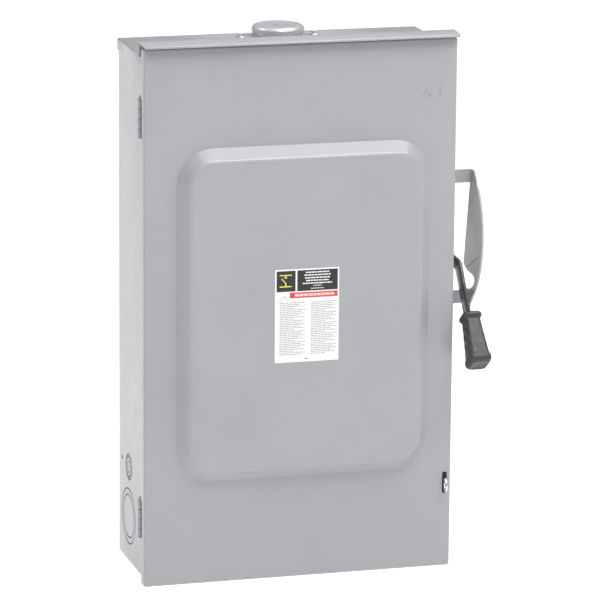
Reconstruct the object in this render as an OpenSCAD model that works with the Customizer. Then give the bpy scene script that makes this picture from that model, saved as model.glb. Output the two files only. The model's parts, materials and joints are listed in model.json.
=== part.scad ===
// Outdoor safety switch (AC disconnect): a drip-hooded steel box with a hinged door,
// a side handle in a guard, and a three-pole fusible knife switch with neutral and ground inside.
// Frame: X to the right, Y into the wall, Z up. Origin at the centre of the box's back face.

/* [Box] */
// Width over the side walls
box_w = 419; // [400:1:440]
// Height over the end walls
box_h = 717; // [700:1:740]
// Depth of the side walls from the wall face
box_d = 168; // [160:1:180]
// Sheet steel thickness
sheet = 1.6; // [1.4:0.1:2]
// Width of the front return flanges of the side walls
return_w = 12; // [8:1:16]

/* [Top cap and drip hood] */
// Depth of the top cap's side flanges
cap_flange = 15; // [10:1:20]
// Width of the drip hood
hood_w = 435; // [430:1:445]
// Height of the hood above the top cap
hood_h = 20.5; // [18:0.5:24]
// Distance from the wall face to the hood's upright leaf
leaf_y = 148; // [140:1:152]
// Distance from the wall face to the hood's front edge
hood_front = 182; // [180:1:188]

/* [Hub closing plate] */
// Diameter of the domed closing cap
hub_d = 72; // [66:1:76]
// Height of the domed closing cap
hub_rise = 18.5; // [16:0.5:22]
// Distance between the two hub screws
hub_screw_pitch = 103; // [98:1:108]
// Distance from the wall face to the hub's centre
hub_y = 50; // [46:1:60]

/* [Door] */
// Width over the door's side flanges
door_w = 432; // [428:1:440]
// Bottom edge of the door, above the box centre
door_z0 = -363.5; // [-366:0.5:-362]
// Top edge of the door, above the box centre
door_z1 = 371.5; // [368:0.5:372]
// Distance from the wall face to the door's front
door_front = 172; // [171:1:176]
// Depth of the door's flanges
door_flange = 15; // [12:1:16]
// Height of the raised panel
raise_h = 17; // [12:1:20]
// Width of the raised panel's sloping border
raise_slope = 16; // [12:1:20]
// Left, right, bottom and top margins of the raised panel
raise_margin = [44, 36, 143, 135.5]; // [30:0.5:150]
// Corner radius of the raised panel's foot
raise_r = 50; // [40:1:60]

/* [Hinges] */
// Height of each hinge
hinge_len = 54; // [48:1:60]
// Distance of each hinge from the box centre
hinge_z = 275; // [260:1:290]
// Diameter of the hinge barrels
barrel_d = 7.5; // [7:0.1:7.8]
// Diameter of the hinge pins
hinge_pin_d = 3.6; // [3:0.1:4]

/* [Knockouts] */
// Large knockout's ring diameters
big_knockout = [77, 60]; // [40:1:80]
// Small knockout's ring diameters
small_knockout = [35, 28]; // [20:1:40]
// Width of a knockout's slit
slit = 1; // [0.6:0.1:1.4]

/* [Handle] */
// Distance from the wall face to the handle's shaft
shaft_y = 107; // [100:1:112]
// Height of the handle's shaft above the box centre
shaft_z = 86.5; // [80:0.5:92]
// Diameter of the handle's shaft
shaft_d = 14; // [12:0.5:15]
// Tilt of the lowered handle from straight down
handle_tilt = 36; // [30:1:40]
// Turn of the handle from OFF to ON
handle_throw = 108; // [100:1:110]
// Distance from the shaft to the handle's end
handle_len = 194; // [180:1:200]
// Length of the moulded grip
grip_len = 76; // [66:1:80]
// Width of the handle arm's channel
arm_w = 24; // [20:1:26]
// Thickness of the arm and guard steel
arm_t = 3; // [2.5:0.1:3.5]

/* [Knife switch] */
// Distance between poles
pole_pitch = 62; // [58:1:66]
// Distance from the wall face to the rotor's shaft
rotor_y = 54; // [52:1:58]
// Height of the rotor's shaft above the box centre
rotor_z = 106; // [104:1:110]
// Radius of the drive crank and of the rotor's lever
crank_r = 24; // [22:0.5:25]
// Reach of a blade from the rotor's shaft
blade_len = 88; // [80:1:90]
// Thickness of a blade
blade_t = 5; // [4:0.5:5]
// Width of a blade
blade_w = 24; // [20:1:24]
// Radius of the wire hole in a terminal lug
lug_bore_r = 8; // [6:0.5:8.5]

/* [Hidden] */
$fn = 48;

half_w = box_w / 2;
half_h = box_h / 2;
inner_x = half_w - sheet;
side_foot = inner_x - return_w;
hood_top = half_h + hood_h;
eps = 0.01;

// Raised panel of the door, as [x0, x1, z0, z1] at its foot
raise_box = [-door_w / 2 + raise_margin[0], door_w / 2 - raise_margin[1],
             door_z0 + raise_margin[2], door_z1 - raise_margin[3]];

label_t = 0.3;

// Hinge barrel axis, outside the left side wall
hinge_x = -half_w - 4;
hinge_y = -142;
knuckles = 4;
knuckle_gap = 0.5;
door_back = -door_front + door_flange;
hinge_notch = 4;
knuckle_len = (hinge_len - (knuckles - 1) * knuckle_gap) / knuckles;

// Knockout centres: [distance from the wall face, height]
big_knockout_at = [58, -half_h + 63];
small_knockout_at = [59, -half_h + 133];

// Hasp slot of the door, as [x0, x1, z0, z1]
slot_box = [204, 210.5, -260, -230];
hasp_z = [-258, -238];
hasp_hole_r = 4;
hasp_hole_y = -door_front - 6.5;
hasp_end_y = -door_front - 3;

// Guard plate
guard_x = half_w + 44.5;
guard_t = 2.5;
guard_r = 117;
guard_centre = [-58, shaft_z + 5];
guard_tab_h = 18;
tab_upper = [-118, 161.5];
tab_lower = [-97, -8];
guard_foot = 20;

// Handle arm: planes along X and the joggle's two ends along the arm
arm_x0 = half_w + 8.5;
arm_x1 = guard_x - 21;
arm_channel = 7.4;
joggle = [24, 46];
hub_boss = [half_w + 3.1, arm_x0 + arm_t];
arm_end = handle_len - 40;
grip_mid_x = arm_x1 + arm_channel / 2 + 1.3;

// Mechanism planes along X
crank_x = [198, 202.4];
link_x = [192.5, 196.5];
hook_x = [184, 189];
pin_r = 4;
link_pin_gap = 0.3;
link_angle = atan2(rotor_z - shaft_z, shaft_y - rotor_y);
// Crank direction when the handle is at OFF, from straight ahead towards up
crank_rest = 90 - link_angle - handle_throw / 2;
hook_rest = 20 - handle_throw;
hook_r = [44, 50];

// Knife switch
poles = [-pole_pitch, 0, pole_pitch];
rotor_bar_w = 16;
rotor_shaft_d = 12;
run_gap = 0.05;
cheek_t = 2.5;
cheek_gap = 0.5;
jaw_gap = 0.3;
base_x = 98;
pan_face = 12;
base_face = 34;
strap_t = 3;
strap_face = base_face + strap_t;
strap_w = 26;
barrier_y = 72;
barrier_t = 4;
line_base_z = [172, 292];
switch_base_z = [36, 128];
load_base_z = [-190, -84];
line_lug_z = 226;
load_lug_z = -174;
lug_size = [28, 28, 34];
upper_clip_z = 46;
lower_clip_z = -118;
clip_size = [4.8, 36, 24];
clip_t = 1.8;
neutral_x = -160;
ground_x = 158;
ground_z = [-260, -150];
ground_pitch = 14;

// Wall holes: [spacing along X, spacing along Z, radius]
wall_holes = [305, 610, 4];

// ---- helpers ----

// A box from its lowest to its highest corner
module block(p, q) translate(p) cube(q - p);

// A cylinder along +X from x0 to x1 through [y, z]
module bar_x(x0, x1, y, z, r) translate([x0, y, z]) rotate([0, 90, 0]) cylinder(r = r, h = x1 - x0);

// A cylinder along -Y from y0 to y1 (distances from the wall face) through [x, z]
module bar_y(y0, y1, x, z, r) translate([x, -y0, z]) rotate([90, 0, 0]) cylinder(r = r, h = y1 - y0);

// A rounded rectangle [x0, x1, z0, z1] drawn in the XY plane
module round_rect(b, r) {
  translate([b[0] + r, b[2] + r]) {
    offset(r = r) square([b[1] - b[0] - 2 * r, b[3] - b[2] - 2 * r]);
  }
}

// Puts an XY drawing in the plane of the door, extruded forward from distance y0 by h
module on_front(y0, h) translate([0, -y0, 0]) rotate([90, 0, 0]) linear_extrude(h) children();

// Puts children, made along +Z, in the frame of a knockout on a wall at x, facing +X
module in_side_wall(x, at) translate([x, -at[0], at[1]]) rotate([0, 90, 0]) children();

// Slits of a concentric knockout: rings of the given diameters, each left on two ties
module knockout_slits(rings, depth) {
  for (i = [0:len(rings) - 1]) difference() {
    cylinder(d = rings[i] + slit, h = depth, center = true);
    cylinder(d = rings[i] - slit, h = depth + 1, center = true);
    rotate(i * 70 + 25) cube([rings[i] + 4, 5, depth + 1], center = true);
  }
}

// The lowered handle's own frame: origin at the shaft, arm along -Z
module in_handle() translate([0, -shaft_y, shaft_z]) rotate([-handle_tilt, 0, 0]) children();

// A point at radius r and angle a (from straight ahead towards up) about [y, z]
function polar(c, r, a) = [c[0] - r * cos(a), c[1] + r * sin(a)];

// A flat lever along X planes, from the hub [y, z] at angle a, with a pin end at radius r
module lever(xs, c, a, r, hub_r, end_r) {
  tip = polar(c, r, a);
  hull() {
    bar_x(xs[0], xs[1], c[0], c[1], hub_r, $fn = 32);
    bar_x(xs[0], xs[1], tip[0], tip[1], end_r, $fn = 32);
  }
}

// A round-headed screw that points to +Y, head proud of distance y0
module front_screw(y0, x, z, r, shank) {
  difference() {
    union() {
      bar_y(y0, y0 + r * 0.7, x, z, r);
      bar_y(y0 - shank, y0, x, z, r * 0.5);
    }
    block([x - r, -y0 - r * 0.7 - 1, z - r * 0.12], [x + r, -y0 - r * 0.3, z + r * 0.12]);
  }
}

// ---- enclosure ----

module side_wall_features(x, handle_side) {
  in_side_wall(x, big_knockout_at) knockout_slits(big_knockout, 3 * sheet);
  in_side_wall(x, small_knockout_at) {
    knockout_slits(small_knockout, 3 * sheet);
    cylinder(r = 1.6, h = 3 * sheet, center = true);
  }
  in_side_wall(x, [20, -half_h + 137]) cylinder(r = 3.2, h = 3 * sheet, center = true);
  if (handle_side) in_side_wall(x, [shaft_y, shaft_z]) cylinder(r = 11, h = 3 * sheet, center = true);
}

module box_wrapper() {
  top = half_h - sheet;
  color([0.68, 0.69, 0.7]) difference() {
    union() {
      block([-half_w, -sheet, -half_h], [half_w, 0, top]);
      for (s = [-1, 1]) {
        x = s * (half_w - sheet / 2);
        block([x - sheet / 2, -box_d, -half_h], [x + sheet / 2, 0, top]);
        f = s * (inner_x - return_w / 2);
        block([f - return_w / 2, -box_d, -half_h + sheet], [f + return_w / 2, -box_d + sheet, top]);
      }
    }
    side_wall_features(-half_w, false);
    side_wall_features(half_w, true);
    for (x = [-1, 1], z = [-1, 1]) {
      bar_y(-1, 2 * sheet, x * wall_holes[0] / 2, z * wall_holes[1] / 2, wall_holes[2]);
    }
    for (s = [-1, 1]) hinge_wall_slot(s * hinge_z);
    block([slot_box[0] - 1, -box_d - 1, slot_box[2] - 2], [inner_x, -box_d + sheet + 1, slot_box[3] + 2]);
  }
}

// Slots in the left side wall that the box leaf of a hinge passes through
module hinge_wall_slot(z) {
  half = hinge_len / 2 + 0.5;
  block([-half_w - 1, hinge_y - 1, z - half], [-inner_x + 1, hinge_y + 1, z + half]);
}

module top_endwall() {
  color([0.68, 0.69, 0.7]) difference() {
    union() {
      block([-half_w - sheet, -box_d, half_h - sheet], [half_w + sheet, 0, half_h]);
      for (s = [-1, 1]) {
        x = s * (half_w + sheet / 2);
        block([x - sheet / 2, -leaf_y, half_h - cap_flange], [x + sheet / 2, 0, half_h]);
      }
      block([-side_foot, -box_d, half_h - cap_flange], [side_foot, -box_d + sheet, half_h]);
    }
    translate([0, -hub_y, half_h]) cylinder(r = hub_d / 2 - 5, h = 4 * sheet, center = true);
    for (s = [-1, 1]) translate([s * hub_screw_pitch / 2, -hub_y, half_h]) {
      cylinder(r = 2.6, h = 4 * sheet, center = true);
    }
  }
}

// Hood bent from one strip: a foot on the top cap, an upright leaf and a sloping cover with a turned-down lip
module drip_hood() {
  w = hood_w / 2;
  lip_drop = 2;
  lip_h = 3.4;
  front_z = hood_top - lip_drop;
  cover = [
    [-leaf_y, half_h], [-leaf_y, hood_top], [-hood_front + 0.8, front_z], [-hood_front, front_z - 0.8],
    [-hood_front, front_z - lip_h], [-hood_front + sheet, front_z - lip_h],
    [-hood_front + sheet, front_z - sheet], [-leaf_y - sheet, hood_top - sheet], [-leaf_y - sheet, half_h]
  ];
  color([0.68, 0.69, 0.7]) {
    translate([-w, 0, 0]) rotate([90, 0, 90]) linear_extrude(2 * w) polygon(cover);
    block([-half_w, -box_d + 2, half_h], [half_w, -leaf_y, half_h + sheet]);
  }
}

module bottom_endwall() {
  back = -sheet;
  color([0.68, 0.69, 0.7]) difference() {
    union() {
      block([-inner_x, -box_d, -half_h], [inner_x, back, -half_h + sheet]);
      block([-side_foot, -box_d, -half_h], [side_foot, -box_d + sheet, -half_h + return_w]);
      block([-inner_x, back - sheet, -half_h], [inner_x, back, -half_h + return_w]);
    }
    for (i = [-1:1]) translate([i * 110, -85, -half_h]) {
      knockout_slits(i == 0 ? small_knockout : big_knockout, 4 * sheet);
    }
    for (s = [-1, 1]) translate([s * 170, -150, -half_h]) cylinder(r = 3, h = 4 * sheet, center = true);
  }
}

module hasp_tab() {
  z = (hasp_z[0] + hasp_z[1]) / 2;
  tab_t = 2.2;
  color([0.82, 0.82, 0.8]) difference() {
    union() {
      block([inner_x - tab_t, hasp_end_y, hasp_z[0]], [inner_x, -130, hasp_z[1]]);
      bar_x(inner_x - tab_t, inner_x, hasp_end_y, z, (hasp_z[1] - hasp_z[0]) / 2);
    }
    bar_x(inner_x - tab_t - 1, inner_x + 1, hasp_hole_y, z, hasp_hole_r);
  }
}

// ---- hub ----

module hub_ears(h) {
  hull() {
    cylinder(d = hub_d + 2, h = h);
    for (s = [-1, 1]) translate([s * hub_screw_pitch / 2, 0, 0]) cylinder(r = 8.5, h = h, $fn = 32);
  }
}

module hub_gasket() {
  color([0.15, 0.15, 0.15]) translate([0, -hub_y, half_h]) difference() {
    hub_ears(1.2);
    translate([0, 0, -1]) cylinder(r = hub_d / 2 - 5, h = 4);
    for (s = [-1, 1]) translate([s * hub_screw_pitch / 2, 0, -1]) cylinder(r = 2.6, h = 4);
  }
}

module hub_closing_cap() {
  r = hub_d / 2;
  crest_r = 9;
  color([0.5, 0.5, 0.51]) translate([0, -hub_y, half_h + 1.2]) {
    difference() {
      hub_ears(2);
      translate([0, 0, -1]) cylinder(r = r - 5, h = 4);
      for (s = [-1, 1]) translate([s * hub_screw_pitch / 2, 0, -1]) cylinder(r = 2.6, h = 4);
    }
    rotate_extrude($fn = 64) difference() {
      union() {
        translate([0, 2 - eps]) square([r - 3, hub_rise - 7]);
        translate([r - crest_r, hub_rise - crest_r]) circle(crest_r);
        translate([0, hub_rise - 6]) square([r - crest_r - 4, 4]);
        translate([r - 5, 0]) square([4, hub_rise - crest_r]);
      }
      translate([-r, -1]) square([r, hub_rise + 2]);
      translate([0, -1]) square([r - 5, hub_rise - 6]);
    }
  }
}

module hub_screws() {
  seat = half_h + 1.2 + 2;
  color([0.85, 0.85, 0.83]) for (s = [-1, 1]) translate([s * hub_screw_pitch / 2, -hub_y, seat]) {
    difference() {
      union() {
        translate([0, 0, -14]) cylinder(r = 2.5, h = 14);
        cylinder(r = 7, h = 1.2);
        cylinder(r = 5.2, h = 5, $fn = 6);
      }
      translate([-4, -0.6, 3.6]) cube([8, 1.2, 3]);
    }
  }
}

// ---- hinges ----

function knuckle_z(i) = -hinge_len / 2 + i * (knuckle_len + knuckle_gap);

module knuckle(i) {
  translate([hinge_x, hinge_y, knuckle_z(i)]) cylinder(d = barrel_d, h = knuckle_len);
}

module pin_hole(r) {
  translate([hinge_x, hinge_y, -hinge_len]) cylinder(r = r, h = 2 * hinge_len);
}

// Box leaf: even knuckles, a web through the wall slot and a plate inside the wall
module hinge_box_leaf(z) {
  color([0.66, 0.67, 0.68]) translate([0, 0, z]) difference() {
    union() {
      for (i = [0:2:knuckles - 1]) {
        knuckle(i);
        block([hinge_x, hinge_y - 0.8, knuckle_z(i)], [-inner_x, hinge_y + 0.8, knuckle_z(i) + knuckle_len]);
      }
      block([-inner_x, hinge_y - 0.8, -hinge_len / 2], [-inner_x + sheet, hinge_y + 26, hinge_len / 2]);
    }
    pin_hole(hinge_pin_d / 2);
  }
}

// Door leaf: odd knuckles, a plate on the inner face of the door's flange and webs jogged in towards the wall
module hinge_door_leaf(z) {
  x = -door_w / 2 + sheet;
  web_x = hinge_x + 1.7;
  plate_back = door_back - hinge_notch - 1;
  color([0.66, 0.67, 0.68]) translate([0, 0, z]) difference() {
    union() {
      for (i = [1:2:knuckles - 1]) {
        knuckle(i);
        block([x, plate_back - sheet, knuckle_z(i)], [web_x + sheet, plate_back, knuckle_z(i) + knuckle_len]);
        block([web_x, plate_back - sheet, knuckle_z(i)],
              [web_x + sheet, hinge_y, knuckle_z(i) + knuckle_len]);
      }
      block([x, -door_front + sheet, -hinge_len / 2], [x + sheet, plate_back, hinge_len / 2]);
    }
    pin_hole(hinge_pin_d / 2 + run_gap);
  }
}

module hinge_pin(z) {
  color([0.7, 0.7, 0.7]) translate([hinge_x, hinge_y, z - hinge_len / 2]) {
    cylinder(d = hinge_pin_d, h = hinge_len + 2);
    translate([0, 0, hinge_len + 0.4]) cylinder(d = hinge_pin_d + 1.6, h = 2.6);
  }
}

// ---- door ----

// Solid frustum of the raised panel, shrunk by the amount t for its hollow side
module raised_block(t) {
  b = raise_box;
  r = raise_r;
  s = raise_slope;
  foot = [b[0] + t, b[1] - t, b[2] + t, b[3] - t];
  crown = [b[0] + s + t, b[1] - s - t, b[2] + s + t, b[3] - s - t];
  hull() {
    on_front(door_front - sheet - eps, eps) round_rect(foot, r - t, $fn = 64);
    on_front(door_front + raise_h - t - eps, eps) round_rect(crown, r - s - t, $fn = 64);
  }
}

module door_panel() {
  w = door_w / 2;
  notch_z = hinge_len / 2 + 1;
  color([0.66, 0.67, 0.69]) difference() {
    union() {
      difference() {
        block([-w, -door_front, door_z0], [w, door_back, door_z1]);
        block([-w + sheet, -door_front + sheet, door_z0 + sheet],
          [w - sheet, door_back + 1, door_z1 - sheet]);
      }
      raised_block(0);
      position_mark();
    }
    raised_block(sheet);
    block([slot_box[0], -door_front - 1, slot_box[2]], [slot_box[1], -door_front + sheet + 1, slot_box[3]]);
    for (z = [-hinge_z, hinge_z]) {
      block([-w - 1, door_back - hinge_notch, z - notch_z], [-w + sheet + 1, door_back + 1, z + notch_z]);
    }
  }
}

// Raised mark beside the handle's upper position: an arrow head and the bar of the ON symbol
module position_mark() {
  x = door_w / 2 - 32;
  z = door_z1 - 72;
  on_front(door_front - eps, 0.8) {
    translate([x - 9, z]) difference() {
      polygon([[-8, -6], [0, 7], [8, -6]]);
      polygon([[-4.2, -3.8], [0, 3], [4.2, -3.8]]);
    }
    translate([x + 8, z - 6]) square([3, 13]);
  }
}

// A thin label of the given size centred at [x, z], with its back at distance y from the wall face
module label(y, at, size) on_front(y, label_t) translate(at - size / 2) square(size);

module door_label() color([0.95, 0.95, 0.93]) label(door_front + raise_h, [4.5, 6], [89, 128]);

module wiring_label() {
  color([0.93, 0.93, 0.9]) label(door_front + raise_h - sheet - label_t, [0, 35], [140, 190]);
}

// Catch that the interlock hook holds: two cheeks and a crossbar behind the door's right edge
module door_catch() {
  cheek = 2;
  z = [96, 114];
  bar_y0 = 141;
  xs = [hook_x[0] - 1.5 - cheek, hook_x[1] + 1.5 + cheek];
  color([0.7, 0.7, 0.68]) {
    for (x = [xs[0], xs[1] - cheek]) {
      block([x, -door_front + sheet, z[0]], [x + cheek, -bar_y0, z[1]]);
    }
    block([xs[0], -bar_y0 - 2.5, 107], [xs[1], -bar_y0, z[1]]);
    block([xs[1], -door_front + sheet, z[0]], [xs[1] + 8, -door_front + 2 * sheet, z[1]]);
  }
}

// ---- handle guard ----

// Outline of the guard plate in [y, z]
function guard_outline() = concat(
  [for (a = [-49:7:49]) guard_centre + guard_r * [-cos(a), -sin(a)]],
  [[tab_lower[0] - 22, tab_lower[1] - 4], tab_lower],
  [tab_lower + [0, guard_tab_h - 1], [-118, 13], [-131, 17], [-141, 23], [-146, 30], [-138, 36]],
  [[-111, 37], [-96, 45], tab_upper, tab_upper + [0, guard_tab_h]]
);

// One strap from the box side to the guard plate, with its foot on the box side
module guard_tab(at) {
  y = at[0];
  block([half_w, y - guard_t, at[1]], [guard_x + guard_t, y, at[1] + guard_tab_h]);
  block([half_w, y - guard_t, at[1]], [half_w + guard_t, y + guard_foot, at[1] + guard_tab_h]);
}

function rivet_at(at) = [at[0] + guard_foot - 8, at[1] + guard_tab_h / 2];

module guard_bracket() {
  color([0.5, 0.51, 0.53]) difference() {
    union() {
      translate([guard_x, 0, 0]) rotate([90, 0, 90]) linear_extrude(guard_t) polygon(guard_outline());
      guard_tab(tab_upper);
      guard_tab(tab_lower);
    }
    for (at = [tab_upper, tab_lower]) {
      bar_x(half_w - 1, half_w + guard_t + 1, rivet_at(at)[0], rivet_at(at)[1], 3);
    }
  }
}

module guard_rivets() {
  color([0.55, 0.55, 0.56]) for (at = [tab_upper, tab_lower]) {
    c = rivet_at(at);
    bar_x(half_w, half_w + guard_t, c[0], c[1], 3);
    translate([half_w + guard_t, c[0], c[1]]) rotate([0, 90, 0]) cylinder(r1 = 5.5, r2 = 3.5, h = 2);
  }
}

// ---- handle ----

module shaft_bushing() {
  color([0.6, 0.6, 0.6]) difference() {
    union() {
      bar_x(203, half_w + 2.5, -shaft_y, shaft_z, 11);
      bar_x(half_w, half_w + 2.5, -shaft_y, shaft_z, 16);
      bar_x(203, inner_x - 2.5, -shaft_y, shaft_z, 15);
    }
    bar_x(200, half_w + 4, -shaft_y, shaft_z, shaft_d / 2 + run_gap);
  }
}

// Steel arm: hub, joggled strap and a channel with its web to the front
module handle_arm() {
  w = arm_w / 2;
  color([0.52, 0.53, 0.55]) in_handle() difference() {
    union() {
      bar_x(hub_boss[0], hub_boss[1], 0, 0, 14);
      block([arm_x0, -w, -joggle[0]], [arm_x0 + arm_t, w, 0]);
      hull() {
        block([arm_x0, -w, -joggle[0] - eps], [arm_x0 + arm_t, w, -joggle[0]]);
        block([arm_x1, -w, -joggle[1] - eps], [arm_x1 + arm_t, w, -joggle[1]]);
      }
      block([arm_x1, -w, -arm_end], [arm_x1 + arm_t, w, -joggle[1]]);
      block([arm_x1, -w, -arm_end], [arm_x1 + arm_channel, -w + arm_t, -joggle[1]]);
      block([arm_x1 + arm_channel - 2, -w, -arm_end], [arm_x1 + arm_channel, w - 4, -joggle[1] - 8]);
    }
    bar_x(hub_boss[0] - 1, hub_boss[1] + 1, 0, 0, shaft_d / 2);
    bar_x(arm_x1 - 1, arm_x1 + arm_channel + 1, 0, -arm_end + 10, 3);
  }
}

// Sections of the grip: [distance from the shaft, width along X, depth along Y, corner radius]
grip_top = handle_len - grip_len;
grip_sections = [
  [grip_top, 22, 25, 6], [grip_top + 2, 26, 29, 8], [grip_top + 5, 27.5, 30.5, 8], [grip_top + 8, 26, 29, 8],
  [grip_top + 11, 22, 26, 7], [handle_len - 15, 28, 34, 7], [handle_len - 12, 31, 37, 8],
  [handle_len - 7, 31.5, 37.5, 8], [handle_len - 3, 29, 35, 8], [handle_len, 24, 29, 6]
];
corner_steps = 6;

// Points of one section, corner by corner, about the grip's centre line
function section_ring(q) = [for (c = [0:3], k = [0:corner_steps])
  let (a = 90 * (c + k / corner_steps), sx = (c == 0 || c == 3) ? 1 : -1, sy = c < 2 ? 1 : -1)
  [grip_mid_x + sx * (q[1] / 2 - q[3]) + q[3] * cos(a), sy * (q[2] / 2 - q[3]) + q[3] * sin(a), -q[0]]];

// Closed solid through rings of equal length, listed from top to bottom
module loft(rings) {
  n = len(rings[0]);
  m = len(rings);
  sides = [for (i = [0:m - 2], k = [0:n - 1])
    let (j = (k + 1) % n) [i * n + k, i * n + j, (i + 1) * n + j, (i + 1) * n + k]];
  ends = [[for (k = [n - 1:-1:0]) k], [for (k = [0:n - 1]) (m - 1) * n + k]];
  polyhedron(points = [for (r = rings, p = r) p], faces = concat(sides, ends), convexity = 4);
}

module handle_grip() {
  tang_end = arm_end + 0.5;
  color([0.1, 0.1, 0.11]) in_handle() difference() {
    loft([for (q = grip_sections) section_ring(q)]);
    block([arm_x1, -arm_w / 2, -tang_end], [arm_x1 + arm_channel, arm_w / 2, -grip_top + 1]);
    grip_rivet_bar();
  }
}

// Cross pin through tang and grip, short of the grip's faces
module grip_rivet_bar() {
  half = 10.5;
  bar_x(grip_mid_x - half, grip_mid_x + half, 0, -arm_end + 10, 3);
}

module grip_rivet() color([0.6, 0.6, 0.6]) in_handle() grip_rivet_bar();

module handle_shaft() {
  color([0.75, 0.75, 0.75]) bar_x(hook_x[0] - 1, hub_boss[1] + 1, -shaft_y, shaft_z, shaft_d / 2);
}

module handle_bolt() {
  x = hub_boss[1] + 1;
  color([0.8, 0.8, 0.78]) {
    bar_x(x, x + 1.5, -shaft_y, shaft_z, 10);
    bar_x(x + 1.5, x + 7, -shaft_y, shaft_z, 8, $fn = 6);
  }
}

// ---- mechanism ----

shaft_c = [-shaft_y, shaft_z];
rotor_c = [-rotor_y, rotor_z];
crank_tip = polar(shaft_c, crank_r, crank_rest);
lever_tip = polar(rotor_c, crank_r, crank_rest);

module drive_crank() {
  color([0.72, 0.7, 0.62]) difference() {
    lever(crank_x, shaft_c, crank_rest, crank_r, 13, 8);
    bar_x(crank_x[0] - 1, crank_x[1] + 1, shaft_c[0], shaft_c[1], shaft_d / 2);
    bar_x(crank_x[0] - 1, crank_x[1] + 1, crank_tip[0], crank_tip[1], pin_r);
  }
}

// A headed pin through a lever and the link
module link_pin(c) {
  bar_x(link_x[0] - 0.4, crank_x[1], c[0], c[1], pin_r);
  bar_x(link_x[0] - 2, link_x[0] - 0.4, c[0], c[1], pin_r + 2);
}

module crank_pin() color([0.8, 0.8, 0.8]) link_pin(crank_tip);

module lever_pin() color([0.8, 0.8, 0.8]) link_pin(lever_tip);

// The interlock hook's own frame: origin at the shaft, arm along -Y
module in_hook() translate([0, shaft_c[0], shaft_c[1]]) rotate([-hook_rest, 0, 0]) children();

// Arm and upturned tooth that turn with the shaft and hold the door's catch
module interlock_hook() {
  x0 = hook_x[0];
  x1 = hook_x[1];
  color([0.72, 0.7, 0.62]) in_hook() difference() {
    union() {
      bar_x(x0, x1, 0, 0, 13);
      block([x0, -hook_r[1], -6], [x1, 0, 3]);
      block([x0, -hook_r[1], -6], [x1, -hook_r[0], 10]);
    }
    bar_x(x0 - 1, x1 + 1, 0, 0, shaft_d / 2);
  }
}

module mechanism_bracket() {
  x1 = inner_x;
  x0 = inner_x - 2.5;
  boss = 202.9;
  color([0.75, 0.74, 0.68]) difference() {
    union() {
      block([x0, -shaft_y - 24, shaft_z - 26], [x1, -sheet, rotor_z + 34]);
      block([spring_x[0] - 6, -sheet - 2.5, shaft_z - 26], [x1, -sheet, rotor_z + 34]);
      bar_x(boss, x0, rotor_c[0], rotor_c[1], 11);
    }
    bar_x(200, x1 + 1, shaft_c[0], shaft_c[1], 11);
    bar_x(200, x1 + 1, rotor_c[0], rotor_c[1], rotor_shaft_d / 2 + run_gap);
    for (z = [shaft_z - 16, rotor_z + 22]) bar_y(0, 8, x0 - 14, z, 3);
  }
}

module connecting_link() {
  color([0.72, 0.7, 0.62]) difference() {
    union() {
      hull() for (c = [crank_tip, lever_tip]) bar_x(link_x[0], link_x[1], c[0], c[1], 5, $fn = 32);
      for (c = [crank_tip, lever_tip]) bar_x(link_x[0], link_x[1], c[0], c[1], 7.5);
    }
    bar_x(link_x[0] - 1, link_x[1] + 1, crank_tip[0], crank_tip[1], pin_r + run_gap);
    bar_x(link_x[0] - 1, link_x[1] + 1, lever_tip[0], lever_tip[1], pin_r + link_pin_gap);
  }
}

module rotor_lever() {
  color([0.72, 0.7, 0.62]) difference() {
    lever(crank_x, rotor_c, crank_rest, crank_r, 11, 8);
    bar_x(crank_x[0] - 1, crank_x[1] + 1, rotor_c[0], rotor_c[1], rotor_shaft_d / 2);
    bar_x(crank_x[0] - 1, crank_x[1] + 1, lever_tip[0], lever_tip[1], pin_r);
  }
}

module rotor_shaft() {
  color([0.75, 0.75, 0.75]) bar_x(-118, inner_x - 1, rotor_c[0], rotor_c[1], rotor_shaft_d / 2);
}

// Turns children about the rotor's shaft by the angle a, from straight ahead towards up
module in_rotor(x, a) translate([x, rotor_c[0], rotor_c[1]]) rotate([-a, 0, 0]) children();

blade_rest = 90 - handle_throw;

module rotor_bar() {
  w = rotor_bar_w / 2;
  color([0.45, 0.16, 0.1]) difference() {
    in_rotor(0, blade_rest) block([-base_x + 4, -w, -w], [base_x - 4, w, w]);
    bar_x(-base_x, base_x, rotor_c[0], rotor_c[1], rotor_shaft_d / 2);
  }
}

module spring_collar() {
  x = [168, 180];
  color([0.75, 0.75, 0.75]) difference() {
    bar_x(x[0], x[1], rotor_c[0], rotor_c[1], 17);
    bar_x(x[0] - 1, x[1] + 1, rotor_c[0], rotor_c[1], rotor_shaft_d / 2);
    difference() {
      bar_x(x[0] - 1, x[0] + 6, rotor_c[0], rotor_c[1], 15);
      bar_x(x[0] - 2, x[0] + 7, rotor_c[0], rotor_c[1], 9);
    }
  }
}

// Knife blade: round root on the rotor bar and a flat blade
module blade(x) {
  w = blade_w / 2;
  t = blade_t / 2;
  color([0.78, 0.45, 0.28]) in_rotor(x, blade_rest) difference() {
    union() {
      bar_x(-t, t, 0, 0, 15.5);
      block([-t, -blade_len, -w], [t, 0, w]);
    }
    block([-t - 1, -rotor_bar_w / 2, -rotor_bar_w / 2], [t + 1, rotor_bar_w / 2, rotor_bar_w / 2]);
  }
}

// ---- operating spring ----

spring_wire = 2.6;
spring_r = 12;
spring_x = [143, 164];
spring_turns = 6;
spring_steps = 20;
wire_sides = 8;
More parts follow.
